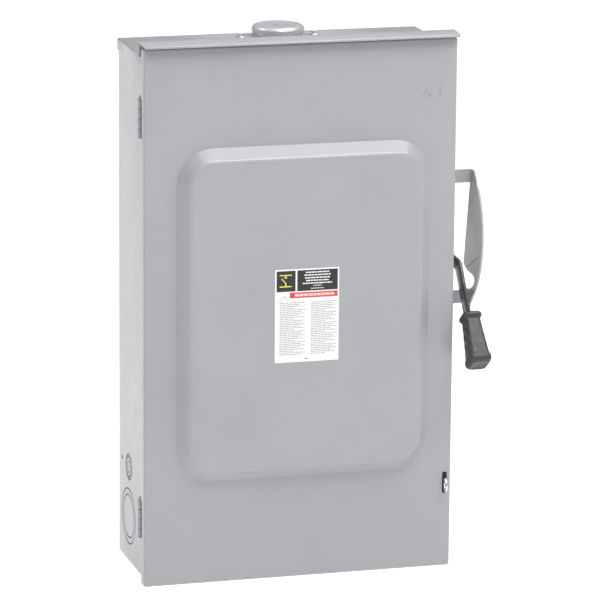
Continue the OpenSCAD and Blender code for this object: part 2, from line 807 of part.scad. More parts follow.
// Centre line: foot on the pan side, coil about the rotor's shaft, tail into the collar's groove
spring_path = concat(
  [[spring_x[0], -sheet - 3, rotor_c[1] + spring_r]],
  [for (i = [0:spring_turns * spring_steps])
    let (a = 90 + 360 * i / spring_steps, u = i / (spring_turns * spring_steps))
    [spring_x[0] + u * (spring_x[1] - spring_x[0]),
     rotor_c[0] - spring_r * cos(a), rotor_c[1] + spring_r * sin(a)]],
  [[spring_x[1] + 8, rotor_c[0], rotor_c[1] + spring_r]]
);

function unit(v) = v / norm(v);
function path_dir(p, i) = unit(p[min(i + 1, len(p) - 1)] - p[max(i - 1, 0)]);

module operating_spring() {
  n = len(spring_path);
  radial = [for (p = spring_path) unit([0.001, p[1] - rotor_c[0] - 0.001, p[2] - rotor_c[1]])];
  pts = [for (i = [0:n - 1], k = [0:wire_sides - 1])
    let (t = path_dir(spring_path, i), b = unit(cross(t, radial[i])), r = cross(b, t),
         a = 360 * k / wire_sides)
    spring_path[i] + spring_wire / 2 * (r * cos(a) + b * sin(a))];
  sides = [for (i = [0:n - 2], k = [0:wire_sides - 1])
    let (m = (k + 1) % wire_sides) [i * wire_sides + k, (i + 1) * wire_sides + k,
      (i + 1) * wire_sides + m, i * wire_sides + m]];
  ends = [[for (k = [0:wire_sides - 1]) k], [for (k = [wire_sides - 1:-1:0]) (n - 1) * wire_sides + k]];
  color([0.3, 0.3, 0.32]) polyhedron(points = pts, faces = concat(sides, ends), convexity = 10);
}

// ---- switch interior ----

module mounting_pan() {
  z = [load_base_z[0] - 14, line_base_z[1] + 12];
  w = base_x + 14;
  color([0.74, 0.75, 0.74]) difference() {
    union() {
      block([-w, -pan_face, z[0]], [w, -pan_face + 2, z[1]]);
      for (s = [-1, 1]) {
        x = s * (w - 1);
        block([x - 1, -pan_face, z[0]], [x + 1, -sheet, z[1]]);
      }
    }
    for (x = [-1, 1], zz = [z[0] + 7, z[1] - 6]) bar_y(pan_face - 4, pan_face + 1, x * 90, zz, 3);
  }
}

module pan_screws() {
  z = [load_base_z[0] - 7, line_base_z[1] + 6];
  color([0.8, 0.8, 0.78]) for (x = [-1, 1], zz = z) front_screw(pan_face, x * 90, zz, 6, 10);
}

module rotor_bearings() {
  color([0.74, 0.75, 0.74]) for (x = [-112, 104]) difference() {
    union() {
      block([x, rotor_c[0] - 10, rotor_c[1] - 14], [x + 6, -pan_face, rotor_c[1] + 14]);
      bar_x(x, x + 6, rotor_c[0] - 4, rotor_c[1], 14);
    }
    bar_x(x - 1, x + 7, rotor_c[0], rotor_c[1], rotor_shaft_d / 2 + run_gap);
  }
}

// Insulating base with barriers beside each pole, cut back above the height bar_top
module pole_base(zs, bar_top) {
  difference() {
    union() {
      block([-base_x, -base_face, zs[0]], [base_x, -pan_face, zs[1]]);
      for (i = [0:3]) {
        x = (i - 1.5) * pole_pitch;
        block([x - barrier_t / 2, -barrier_y, zs[0]], [x + barrier_t / 2, -base_face, bar_top]);
      }
    }
    for (s = [-1, 1]) block([s * 90 - 8, -base_face - 1, zs[0] - 1], [s * 90 + 8, -base_face + 8, zs[0] + 8]);
  }
}

module line_base() color([0.16, 0.16, 0.17]) pole_base(line_base_z, line_base_z[1]);

module switch_base() color([0.16, 0.16, 0.17]) pole_base(switch_base_z, 84);

module load_base() color([0.16, 0.16, 0.17]) pole_base(load_base_z, load_base_z[1]);

// Flat copper strap on the bases' front
module strap(x, z0, z1) block([x - strap_w / 2, -strap_face, z0], [x + strap_w / 2, -base_face, z1]);

module line_jaws() {
  t = blade_t / 2 + jaw_gap;
  color([0.8, 0.5, 0.32]) for (x = poles) {
    strap(x, 176, line_lug_z + lug_size[2]);
    for (s = [-1, 1]) {
      c = x + s * (t + 1);
      block([c - 1, -68, 178], [c + 1, -base_face, 203]);
    }
  }
}

module arc_chutes() {
  w = 17;
  z = [173, 214];
  color([0.85, 0.83, 0.76]) for (x = poles) {
    for (s = [-1, 1]) {
      c = x + s * (w + 1);
      block([c - 1, -84, z[0]], [c + 1, -base_face, z[1]]);
    }
    block([x - w - 2, -84, z[1] - 2], [x + w + 2, -70, z[1]]);
    for (i = [0:2]) block([x - w, -74 - 5 * i, 197], [x + w, -72.8 - 5 * i, z[1] - 2]);
  }
}

module hinge_clips() {
  t = blade_t / 2 + cheek_gap;
  color([0.8, 0.5, 0.32]) for (x = poles) difference() {
    union() {
      strap(x, switch_base_z[0] + 6, 122);
      for (s = [-1, 1]) {
        c = x + s * (t + cheek_t / 2);
        block([c - cheek_t / 2, rotor_c[0], rotor_c[1] - 16], [c + cheek_t / 2, -base_face, rotor_c[1] + 16]);
        bar_x(c - cheek_t / 2, c + cheek_t / 2, rotor_c[0], rotor_c[1], 16);
      }
    }
    bar_x(x - 12, x + 12, rotor_c[0], rotor_c[1], 12.5);
  }
}

// Spring clip for a fuse blade, standing forward from the straps
module fuse_clip(x, z) {
  g = clip_size[0] / 2;
  y0 = strap_face;
  y1 = strap_face + clip_size[1];
  block([x - g - clip_t, -y0 - 2, z], [x + g + clip_t, -y0, z + clip_size[2]]);
  for (s = [-1, 1]) {
    c = x + s * (g + clip_t / 2);
    block([c - clip_t / 2, -y1, z], [c + clip_t / 2, -y0, z + clip_size[2]]);
    translate([c, -y1, z]) rotate([0, 0, s * 35]) {
      block([-clip_t / 2, -6, 0], [clip_t / 2, 0.5, clip_size[2]]);
    }
  }
}

module upper_fuse_clips() color([0.82, 0.56, 0.38]) for (x = poles) fuse_clip(x, upper_clip_z);

module lower_fuse_clips() {
  color([0.82, 0.56, 0.38]) for (x = poles) {
    fuse_clip(x, lower_clip_z);
    strap(x, load_lug_z, lower_clip_z + clip_size[2] + 2);
  }
}

// Terminal lug with a wire hole along Z and a set screw hole from the front
module lug(x, y0, z) {
  s = lug_size;
  y = -y0 - s[1] / 2;
  difference() {
    block([x - s[0] / 2, -y0 - s[1], z], [x + s[0] / 2, -y0, z + s[2]]);
    translate([x, y + 1, z - 1]) cylinder(r = lug_bore_r, h = s[2] + 2);
    bar_y(y0 + s[1] / 2 + 2, y0 + s[1] + 1, x, z + s[2] / 2, 5);
  }
}

// Hex socket set screw of a lug, backed out clear of the wire hole
module set_screw(x, y0, z) {
  y = y0 + lug_size[1] / 2 + lug_bore_r;
  difference() {
    bar_y(y, y + 14, x, z + lug_size[2] / 2, 5);
    bar_y(y + 7, y + 15, x, z + lug_size[2] / 2, 3, $fn = 6);
  }
}

module line_lugs() color([0.78, 0.79, 0.8]) for (x = poles) lug(x, strap_face, line_lug_z);

module load_lugs() color([0.78, 0.79, 0.8]) for (x = poles) lug(x, strap_face, load_lug_z);

module lug_screws() {
  color([0.6, 0.6, 0.62]) for (x = poles, z = [line_lug_z, load_lug_z]) set_screw(x, strap_face, z);
}

module line_shield() {
  z = [218, 300];
  w = base_x + 2;
  color([0.8, 0.85, 0.88, 0.5]) {
    block([-w, -88, z[0]], [w, -86, z[1]]);
    for (s = [-1, 1]) {
      x = s * (w - 1);
      block([x - 1, -88, z[0]], [x + 1, -base_face + 10, z[1] - 20]);
    }
  }
}

// ---- neutral and ground ----

module neutral_base() {
  color([0.16, 0.16, 0.17]) difference() {
    block([neutral_x - 22, -24, -64], [neutral_x + 22, -sheet, 64]);
    for (z = [-1, 1]) bar_y(18, 25, neutral_x, z * 10, 5);
  }
}

module neutral_bar() {
  y = 24;
  color([0.78, 0.79, 0.8]) {
    difference() {
      block([neutral_x - 14, -y - 8, -60], [neutral_x + 14, -y, 60]);
      for (z = [-1, 1]) bar_y(y - 1, y + 9, neutral_x, z * 10, 4);
    }
    for (z = [-58, 24]) lug(neutral_x, y + 8, z);
  }
}

module neutral_screws() {
  color([0.6, 0.6, 0.62]) {
    for (z = [-58, 24]) set_screw(neutral_x, 32, z);
    for (z = [-1, 1]) front_screw(32, neutral_x, z * 10, 6, 12);
  }
}

ground_n = 7;
function ground_hole_z(i) = ground_z[0] + 13 + i * ground_pitch;

module ground_bar() {
  color([0.78, 0.79, 0.8]) difference() {
    union() {
      block([ground_x - 6, -28, ground_z[0]], [ground_x + 6, -14, ground_z[1]]);
      for (z = [ground_z[0] + 3, ground_z[1] - 9]) {
        block([ground_x - 6, -14, z], [ground_x + 6, -sheet, z + 6]);
      }
    }
    for (i = [0:ground_n - 1]) {
      bar_x(ground_x - 7, ground_x + 7, -21, ground_hole_z(i), 3.2);
      bar_y(24, 29, ground_x, ground_hole_z(i), 2.6);
    }
  }
}

module ground_screws() {
  color([0.35, 0.6, 0.4]) for (i = [0:ground_n - 1]) difference() {
    union() {
      bar_y(24.5, 32, ground_x, ground_hole_z(i), 2.5);
      bar_y(29, 33, ground_x, ground_hole_z(i), 4.6);
    }
    block([ground_x - 6, -34, ground_hole_z(i) - 0.6], [ground_x + 6, -31.5, ground_hole_z(i) + 0.6]);
  }
}

// ---- assembly ----

box_wrapper();
top_endwall();
drip_hood();
bottom_endwall();
hasp_tab();
hub_gasket();
hub_closing_cap();
hub_screws();
hinge_box_leaf(hinge_z);  // upper_hinge_box_leaf
hinge_box_leaf(-hinge_z);  // lower_hinge_box_leaf
hinge_door_leaf(hinge_z);  // upper_hinge_door_leaf
hinge_door_leaf(-hinge_z);  // lower_hinge_door_leaf
hinge_pin(hinge_z);  // upper_hinge_pin
hinge_pin(-hinge_z);  // lower_hinge_pin
door_panel();
door_label();
wiring_label();
door_catch();
guard_bracket();
guard_rivets();
shaft_bushing();
handle_arm();
handle_grip();
grip_rivet();
handle_shaft();
handle_bolt();
drive_crank();
crank_pin();
interlock_hook();
mechanism_bracket();
connecting_link();
rotor_lever();
lever_pin();
rotor_shaft();
rotor_bar();
spring_collar();
operating_spring();
for (i = [0:2]) blade(poles[i]);
mounting_pan();
pan_screws();
rotor_bearings();
line_base();
switch_base();
load_base();
line_jaws();
arc_chutes();
hinge_clips();
upper_fuse_clips();
lower_fuse_clips();
line_lugs();
load_lugs();
lug_screws();
line_shield();
neutral_base();
neutral_bar();
neutral_screws();
ground_bar();
ground_screws();
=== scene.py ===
import json
import math

import bmesh
import bpy
from mathutils import Matrix, Vector


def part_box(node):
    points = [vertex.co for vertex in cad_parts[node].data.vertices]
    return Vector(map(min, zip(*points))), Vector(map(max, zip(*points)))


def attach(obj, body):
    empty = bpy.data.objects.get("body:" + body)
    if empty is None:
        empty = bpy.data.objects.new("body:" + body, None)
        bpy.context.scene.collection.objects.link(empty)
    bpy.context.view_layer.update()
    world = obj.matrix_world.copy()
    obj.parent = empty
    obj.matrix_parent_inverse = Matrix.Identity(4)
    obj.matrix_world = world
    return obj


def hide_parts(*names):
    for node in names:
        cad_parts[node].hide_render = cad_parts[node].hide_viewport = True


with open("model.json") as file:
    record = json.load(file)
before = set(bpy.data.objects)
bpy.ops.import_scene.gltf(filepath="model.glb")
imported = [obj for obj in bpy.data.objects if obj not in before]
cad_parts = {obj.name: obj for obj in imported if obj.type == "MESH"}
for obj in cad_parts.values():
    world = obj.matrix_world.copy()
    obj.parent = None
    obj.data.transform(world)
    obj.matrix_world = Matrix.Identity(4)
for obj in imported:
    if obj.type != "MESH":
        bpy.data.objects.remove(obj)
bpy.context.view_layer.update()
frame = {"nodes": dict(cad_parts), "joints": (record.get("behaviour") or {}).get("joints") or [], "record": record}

# Outdoor safety switch: detailed sheet metal, casting, grip, labels and materials around the CAD frame.
# Lengths are millimetres in the frame's axes (X right, Y into the wall, Z up) until a mesh is made.
MM = 0.001
slot_of = {part["node"]: part["material_slot"] for part in frame["record"]["subparts"]}
body_of = {node: body for body, nodes in frame["record"]["behaviour"]["bodies"].items() for node in nodes}
joint_at = {joint["name"]: Vector(joint["pos_m"]) / MM for joint in frame["joints"]}


def box_mm(node):
    """Lowest and highest corner of a CAD node, in millimetres."""
    low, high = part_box(node)
    return low / MM, high / MM


# ---- driving values, from the frame ----

SHEET = 1.6
wall_low, wall_high = box_mm("box_wrapper")
HALF_W = wall_high.x
HALF_H = -wall_low.z
BOX_D = -wall_low.y
cap_low, cap_high = box_mm("top_endwall")
hood_low, hood_high = box_mm("drip_hood")
door_low, door_high = box_mm("door_panel")
DOOR_FLANGE = 15.0
RAISE_H = 17.0
DOOR_FRONT = -door_low.y - RAISE_H
CROWN_Y = door_low.y
HINGE_NOTCH = 4.0
shaft = joint_at["handle_turn"]
rotor = joint_at["rotor_turn"]
hinge = joint_at["door_hinge"]


# ---- mesh helpers ----

def link_mesh(name, verts, faces):
    """New object from millimetre points, with its faces turned outwards."""
    mesh = bpy.data.meshes.new(name)
    mesh.from_pydata([Vector(v) * MM for v in verts], [], faces)
    obj = bpy.data.objects.new(name, mesh)
    bpy.context.scene.collection.objects.link(obj)
    work = bmesh.new()
    work.from_mesh(mesh)
    bmesh.ops.remove_doubles(work, verts=work.verts, dist=1e-7)
    bmesh.ops.recalc_face_normals(work, faces=work.faces)
    work.to_mesh(mesh)
    work.free()
    return obj


def smooth(obj, angle=35.0):
    """Smooth shading, with edges sharper than the angle kept crisp."""
    obj.data.shade_smooth()
    obj.data.set_sharp_from_angle(angle=math.radians(angle))
    return obj


def bake_modifiers(obj):
    """Replaces an object's mesh with its evaluated one."""
    graph = bpy.context.evaluated_depsgraph_get()
    mesh = bpy.data.meshes.new_from_object(obj.evaluated_get(graph))
    old = obj.data
    obj.modifiers.clear()
    obj.data = mesh
    bpy.data.meshes.remove(old)
    mesh.name = obj.name


def combine(obj, others, operation):
    """Exact boolean of an object with several others, which are used up."""
    for other in others:
        step = obj.modifiers.new(operation, "BOOLEAN")
        step.operation = operation
        step.solver = "EXACT"
        step.object = other
    bake_modifiers(obj)
    for other in others:
        bpy.data.objects.remove(other)
    return obj


def soften(obj, width=0.4, angle=35.0, segments=2):
    """Rounds the hard edges of a finished mesh by a small width."""
    work = bmesh.new()
    work.from_mesh(obj.data)
    bmesh.ops.remove_doubles(work, verts=work.verts, dist=1e-6)
    bmesh.ops.dissolve_limit(
        work, angle_limit=math.radians(0.6), verts=work.verts, edges=work.edges, delimit={"NORMAL"}
    )
    hard = [e for e in work.edges if e.is_manifold and e.calc_face_angle(0) > math.radians(angle)]
    bmesh.ops.bevel(
        work, geom=hard, offset=width * MM, segments=segments, profile=0.5, affect="EDGES", clamp_overlap=True
    )
    work.to_mesh(obj.data)
    work.free()
    return smooth(obj, angle)


def show(obj, body, slot, *nodes):
    """Gives a piece its material, its body and the CAD nodes that it stands for."""
    obj.data.materials.clear()
    obj.data.materials.append(material(slot))
    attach(obj, body)
    if nodes:
        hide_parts(*nodes)
    return obj


def rounded_path(points, radius, steps=6):
    """Plane polyline with its corners rounded, as (point, left normal) pairs."""
    points = [Vector(p) for p in points]
    path = []
    for i, point in enumerate(points):
        before = (point - points[i - 1]).normalized() if i else None
        after = (points[i + 1] - point).normalized() if i + 1 < len(points) else None
        if before is None or after is None:
            run = after or before
            path.append((point, Vector((-run.y, run.x))))
            continue
        turn = before.angle_signed(after)
        reach = radius * math.tan(abs(turn) / 2)
        side = 1 if before.cross(after) > 0 else -1
        start = point - before * reach
        centre = start + Vector((-before.y, before.x)) * side * radius
        spoke = start - centre
        for k in range(steps + 1):
            spin = Matrix.Rotation(side * abs(turn) * k / steps, 2)
            arm = spin @ spoke
            path.append((centre + arm, arm.normalized() * -side))
    return path


def bent_sheet(name, points, radius, span, place, thickness=SHEET):
    """Sheet of even thickness bent along a plane path and drawn over a span.

    place(u, v, w) gives the frame point of path coordinates u, v at distance w along the span."""
    half = thickness / 2
    verts, faces = [], []
    path = rounded_path(points, radius)
    for point, normal in path:
        for side, w in ((half, span[0]), (half, span[1]), (-half, span[1]), (-half, span[0])):
            at = point + normal * side
            verts.append(place(at.x, at.y, w))
    for i in range(len(path) - 1):
        for k in range(4):
            m = (k + 1) % 4
            faces.append((4 * i + k, 4 * i + m, 4 * i + 4 + m, 4 * i + 4 + k))
    last = 4 * (len(path) - 1)
    faces += [(0, 3, 2, 1), (last, last + 1, last + 2, last + 3)]
    return link_mesh(name, verts, faces)


def along_x(u, v, w):
    return (w, u, v)


def along_y(u, v, w):
    return (u, w, v)


def along_z(u, v, w):
    return (u, v, w)


def prism(name, outline, span, place):
    """Solid drawn from a plane outline over a span."""
    n = len(outline)
    verts = [place(p[0], p[1], w) for w in span for p in outline]
    faces = [tuple(range(n)), tuple(range(2 * n - 1, n - 1, -1))]
    faces += [(k, (k + 1) % n, n + (k + 1) % n, n + k) for k in range(n)]
    return link_mesh(name, verts, faces)


def slab(name, low, high):
    """Rectangular solid between two corners."""
    outline = [(low[0], low[1]), (high[0], low[1]), (high[0], high[1]), (low[0], high[1])]
    return prism(name, outline, (low[2], high[2]), along_z)


def circle(centre, radius, count=48, start=0.0, sweep=360.0):
    """Points of an arc, or of a whole circle."""
    whole = sweep == 360.0
    total = count if whole else count + 1
    angles = [math.radians(start + sweep * k / count) for k in range(total)]
    return [(centre[0] + radius * math.cos(a), centre[1] + radius * math.sin(a)) for a in angles]


def rounded_box(box, radius, steps=8):
    """Rounded rectangle (u0, u1, v0, v1) as a list of points, corner by corner."""
    u0, u1, v0, v1 = box
    corners = [(u1 - radius, v1 - radius), (u0 + radius, v1 - radius),
               (u0 + radius, v0 + radius), (u1 - radius, v0 + radius)]
    return [p for i, c in enumerate(corners) for p in circle(c, radius, steps, 90 * i, 90.0)]


def loft(name, rings, close_ends=True):
    """Closed solid through rings of equal length."""
    n = len(rings[0])
    verts = [p for ring in rings for p in ring]
    faces = []
    for i in range(len(rings) - 1):
        for k in range(n):
            m = (k + 1) % n
            faces.append((i * n + k, i * n + m, (i + 1) * n + m, (i + 1) * n + k))
    if close_ends:
        faces.append(tuple(range(n)))
        faces.append(tuple(range(len(verts) - 1, len(verts) - 1 - n, -1)))
    return link_mesh(name, verts, faces)


def revolve(name, profile, centre, count=96):
    """Solid of revolution about +Z from (radius, height) points, closed at the axis."""
    rings = [[(centre[0] + r * math.cos(2 * math.pi * k / count),
               centre[1] + r * math.sin(2 * math.pi * k / count), centre[2] + z)
              for k in range(count)] for r, z in profile]
    return loft(name, rings)


# ---- materials ----

_materials = {}


class Nodes:
    """Short way to build a material's nodes."""

    def __init__(self, name):
        self.material = bpy.data.materials.new(name)
        self.material.use_nodes = True
        self.tree = self.material.node_tree
        self.shader = self.tree.nodes["Principled BSDF"]
        self.place = self.add("ShaderNodeTexCoord").outputs["Object"]

    def add(self, kind, **values):
        node = self.tree.nodes.new(kind)
        for key, value in values.items():
            setattr(node, key, value)
        return node

    def link(self, source, target):
        self.tree.links.new(source, target)

    def set(self, **values):
        for key, value in values.items():
            self.shader.inputs[key.replace("_", " ")].default_value = value

    def noise(self, scale, detail=2.0, rough=0.5, stretch=(1, 1, 1)):
        spread = self.add("ShaderNodeMapping")
        spread.inputs["Scale"].default_value = stretch
        self.link(self.place, spread.inputs["Vector"])
        node = self.add("ShaderNodeTexNoise")
        node.inputs["Scale"].default_value = scale
        node.inputs["Detail"].default_value = detail
        node.inputs["Roughness"].default_value = rough
        self.link(spread.outputs["Vector"], node.inputs["Vector"])
        return node.outputs["Fac"]

    def between(self, fac, low, high, span=(0.3, 0.7)):
        """A number that follows fac from low to high."""
        node = self.add("ShaderNodeMapRange")
        for key, value in zip(("From Min", "From Max", "To Min", "To Max"), (*span, low, high)):
            node.inputs[key].default_value = value
        self.link(fac, node.inputs["Value"])
        return node.outputs["Result"]

    def ramp(self, fac, *stops):
        """A colour that follows fac through (position, colour) stops."""
        node = self.add("ShaderNodeValToRGB")
        while len(node.color_ramp.elements) < len(stops):
            node.color_ramp.elements.new(0.5)
        for element, (position, colour) in zip(node.color_ramp.elements, stops):
            element.position = position
            element.color = (*colour, 1.0)
        self.link(fac, node.inputs["Fac"])
        return node.outputs["Color"]

    def bump(self, height, depth, strength=1.0, below=None):
        """Bump of the given depth in metres, over an earlier bump if there is one."""
        node = self.add("ShaderNodeBump")
        node.inputs["Strength"].default_value = strength
        node.inputs["Distance"].default_value = depth
        self.link(height, node.inputs["Height"])
        if below is not None:
            self.link(below, node.inputs["Normal"])
        return node.outputs["Normal"]

    def finish(self, colour, rough, normal=None):
        self.link(colour, self.shader.inputs["Base Color"])
        self.link(rough, self.shader.inputs["Roughness"])
        if normal is not None:
            self.link(normal, self.shader.inputs["Normal"])
        return self.material


def shade(colour, factor):
    return tuple(min(1.0, c * factor) for c in colour)


def paint(name, colour, rough=0.42):
    """Baked enamel on sheet steel: faint cloudiness, orange peel and uneven gloss."""
    n = Nodes(name)
    n.set(Specular_IOR_Level=0.5, IOR=1.5, Coat_Weight=0.55, Coat_Roughness=0.13)
    clouds = n.noise(9, 3, 0.6)
    tint = n.ramp(clouds, (0.3, shade(colour, 0.965)), (0.7, shade(colour, 1.03)))
    gloss = n.between(n.noise(35, 3, 0.6), rough - 0.05, rough + 0.06)
    peel = n.bump(n.noise(420, 2, 0.5), 0.00003, 0.35)
    grit = n.bump(n.noise(2600, 2, 0.6), 0.000012, 0.25, peel)
    return n.finish(tint, gloss, grit)


def cast_paint(name, colour):
    """Sand-cast metal under a thin coat: pebbled surface, with painted shade darkening its pits and painted light on
    its crests.
    """
    n = Nodes(name)
    n.set(Metallic=0.55)
    pebble_and_pit_shade = n.noise(700, 4, 0.6)
    # the tint follows the pebble height: painted shade in the pits, painted light on the crests
    tint = n.ramp(pebble_and_pit_shade, (0.3, shade(colour, 0.8)), (0.7, shade(colour, 1.15)))
    gloss = n.between(n.noise(120, 3), 0.26, 0.4)
    return n.finish(tint, gloss, n.bump(pebble_and_pit_shade, 0.00012, 0.5))


def plated(name, colour, rough=0.3, second=None):
    """Plated steel: drawing lines, blotches of a second tint and light scuffs."""
    n = Nodes(name)
    n.set(Metallic=1.0)
    second = second or shade(colour, 0.86)
    blotch = n.noise(160, 4, 0.65)
    tint = n.ramp(blotch, (0.35, second), (0.65, colour))
    lines = n.noise(900, 2, 0.5, (1, 1, 0.04))
    gloss = n.between(lines, rough - 0.08, rough + 0.14)
    return n.finish(tint, gloss, n.bump(lines, 0.00001, 0.3))


def bare_copper(name, colour):
    """Punched copper strap: rolled lines and patches of darker oxide."""
    n = Nodes(name)
    n.set(Metallic=1.0)
    oxide = n.noise(55, 5, 0.6)
    tint = n.ramp(oxide, (0.3, shade(colour, 0.6)), (0.5, shade(colour, 0.9)), (0.75, colour))
    lines = n.noise(1100, 2, 0.5, (0.06, 1, 1))
    gloss = n.between(lines, 0.22, 0.42)
    return n.finish(tint, gloss, n.bump(lines, 0.00001, 0.25))


def moulded(name, colour, rough=0.45, grain=1400.0, depth=0.00004):
    """Moulded plastic: fine grain, faint flow marks and uneven sheen."""
    n = Nodes(name)
    n.set(Specular_IOR_Level=0.5)
    flow = n.noise(28, 3, 0.6, (1, 1, 0.4))
    tint = n.ramp(flow, (0.3, shade(colour, 0.8)), (0.7, shade(colour, 1.25)))
    gloss = n.between(n.noise(90, 3), rough - 0.07, rough + 0.1)
    return n.finish(tint, gloss, n.bump(n.noise(grain, 3, 0.6), depth, 0.45))


def fibre(name, colour):
    """Laminated fibre board: short mottled fibres."""
    n = Nodes(name)
    strands = n.noise(380, 5, 0.7, (1, 1, 0.25))
    tint = n.ramp(strands, (0.3, shade(colour, 0.78)), (0.7, shade(colour, 1.08)))
    return n.finish(tint, n.between(strands, 0.6, 0.8), n.bump(strands, 0.00005, 0.4))


def printed(name, colour, rough=0.35):
    """Ink or film on a vinyl label: smooth, with a trace of print grain."""
    n = Nodes(name)
    n.set(Specular_IOR_Level=0.4)
    grain = n.noise(900, 2)
    tint = n.ramp(grain, (0.3, shade(colour, 0.97)), (0.7, shade(colour, 1.02)))
    return n.finish(tint, n.between(grain, rough, rough + 0.08), n.bump(grain, 0.000006, 0.2))


def clear_plastic(name):
    """Clear polycarbonate sheet with a few hazy patches."""
    n = Nodes(name)
    n.set(IOR=1.49, Transmission_Weight=0.92)
    haze = n.noise(40, 4, 0.6)
    tint = n.ramp(haze, (0.3, (0.88, 0.91, 0.93)), (0.7, (0.96, 0.98, 0.98)))
    return n.finish(tint, n.between(haze, 0.03, 0.12), n.bump(haze, 0.00002, 0.1))


RECIPES = {
    "gray_paint": lambda s: paint(s, (0.342, 0.349, 0.366)),
    "guard_paint": lambda s: paint(s, (0.385, 0.39, 0.402), 0.4),
    "arm_steel": lambda s: paint(s, (0.03, 0.031, 0.034), 0.42),
    "hub_casting": lambda s: cast_paint(s, (0.54, 0.53, 0.56)),
    "zinc_steel": lambda s: plated(s, (0.83, 0.83, 0.81), 0.3),
    "plain_steel": lambda s: plated(s, (0.6, 0.6, 0.6), 0.36),
    "yellow_zinc": lambda s: plated(s, (0.8, 0.68, 0.42), 0.34, (0.7, 0.66, 0.52)),
    "spring_steel": lambda s: plated(s, (0.16, 0.16, 0.18), 0.38),
    "black_grip": lambda s: moulded(s, (0.042, 0.042, 0.045), 0.46, 480.0, 0.0004),
    "black_base": lambda s: moulded(s, (0.022, 0.022, 0.024), 0.5),
    "red_phenolic": lambda s: moulded(s, (0.2, 0.03, 0.018), 0.35),
    "copper": lambda s: bare_copper(s, (0.9, 0.52, 0.36)),
    "lug_aluminium": lambda s: plated(s, (0.86, 0.87, 0.88), 0.4),
    "fibre_board": lambda s: fibre(s, (0.72, 0.68, 0.56)),
    "white_label": lambda s: printed(s, (0.86, 0.86, 0.85)),
    "clear_shield": clear_plastic,
    "black_gasket": lambda s: moulded(s, (0.02, 0.02, 0.02), 0.7, 500.0, 0.0001),
    "green_screw": lambda s: paint(s, (0.02, 0.22, 0.07), 0.35),
    "ink_black": lambda s: printed(s, (0.028, 0.026, 0.032)),
    "ink_yellow": lambda s: printed(s, (0.8, 0.68, 0.12)),
    "ink_red": lambda s: printed(s, (0.62, 0.07, 0.08)),
    "ink_gray": lambda s: printed(s, (0.36, 0.36, 0.37)),
    "ink_pink": lambda s: printed(s, (0.83, 0.55, 0.55)),
}


def material(slot):
    if slot not in _materials:
        _materials[slot] = RECIPES[slot](slot)
    return _materials[slot]


# ---- enclosure shell ----

HOLE_REACH = 4.0
BIG_RINGS, SMALL_RINGS = (77.0, 60.0), (35.0, 28.0)
SLIT = 1.0
TIE = 5.0
GROOVE = (2.6, 0.9)
BIG_AT = (58.0, -HALF_H + 63)
SMALL_AT = (59.0, -HALF_H + 133)


def knockout_cutters(rings, span, place):
    """Arc slits of a concentric knockout, each ring left on two ties."""
    cutters = []
    for i, diameter in enumerate(rings):
        tie = math.degrees(TIE / diameter)
        for half_turn in (0, 180):
            start = i * 70 + 25 + half_turn + tie
            sweep = 180 - 2 * tie
            outer = circle((0, 0), (diameter + SLIT) / 2, 40, start, sweep)
            inner = circle((0, 0), (diameter - SLIT) / 2, 40, start, sweep)
            cutters.append(prism("slit", outer + inner[::-1], span, place))
    return cutters


def groove_cutters(rings, span, place):
    """Shallow ring grooves that a knockout's slits run in."""
    cutters = []
    for diameter in rings:
        for start in (0, 180):
            outer = circle((0, 0), (diameter + GROOVE[0]) / 2, 40, start, 180.5)
            inner = circle((0, 0), (diameter - GROOVE[0]) / 2, 40, start, 180.5)
            cutters.append(prism("groove", outer + inner[::-1], span, place))
    return cutters


def hole(centre, radius, span, place, count=48):
    return prism("hole", circle(centre, radius, count), span, place)


def wrapper():
    """Back and side walls with front returns, bent from one sheet, with every hole and knockout."""
    half = SHEET / 2
    side, front = HALF_W - half, -BOX_D + half
    foot = HALF_W - SHEET - 12
    path = [(-foot, front), (-side, front), (-side, -half), (side, -half), (side, front), (foot, front)]
    shell = bent_sheet("enclosure_wrapper", path, 2.4, (-HALF_H, HALF_H - SHEET), along_z)
    cutters = []
    for sign in (-1, 1):
        span = (sign * HALF_W - HOLE_REACH, sign * HALF_W + HOLE_REACH)
        skin = sorted((sign * (HALF_W - GROOVE[1]), sign * (HALF_W + 1)))
        for rings, at in ((BIG_RINGS, BIG_AT), (SMALL_RINGS, SMALL_AT)):
            place = lambda u, v, w, at=at: (w, v - at[0], at[1] - u)
            inner_mark = (16.0,) if rings is SMALL_RINGS else ()
            cutters += knockout_cutters(rings, span, place) + groove_cutters(rings + inner_mark, skin, place)
        cutters.append(hole((-SMALL_AT[0], SMALL_AT[1]), 1.6, span, along_x, 24))
        cutters.append(hole((-20, -HALF_H + 137), 3.2, span, along_x, 32))
        low, high = box_mm(("lower" if sign < 0 else "upper") + "_hinge_box_leaf")
        cutters.append(slab("slot", (-HALF_W - 2, hinge.y - 1, low.z - 0.5), (-HALF_W + 3, hinge.y + 1, high.z + 0.5)))
        foot_low = (sign * HALF_W - 18, -BOX_D - 1, -HALF_H - 1)
        foot_high = (sign * HALF_W + 18, -BOX_D + SHEET + 0.4, -HALF_H + SHEET)
        cutters.append(slab("foot_gap", foot_low, foot_high))
    cutters.append(hole((shaft.y, shaft.z), 11, (HALF_W - HOLE_REACH, HALF_W + HOLE_REACH), along_x))
    for x in (-152.5, 152.5):
        for z in (-305.0, 305.0):
            cutters.append(hole((x, z), 4, (-HOLE_REACH, HOLE_REACH), along_y, 40))
    low, high = box_mm("hasp_tab")
    gap_low, gap_high = (low.x - 1, -BOX_D - 1, low.z - 4), (HALF_W - SHEET, -BOX_D + SHEET + 1, high.z + 10)
    cutters.append(slab("hasp_gap", gap_low, gap_high))
    combine(shell, cutters, "DIFFERENCE")
    return show(soften(shell, 0.25), "enclosure", "gray_paint", "box_wrapper")


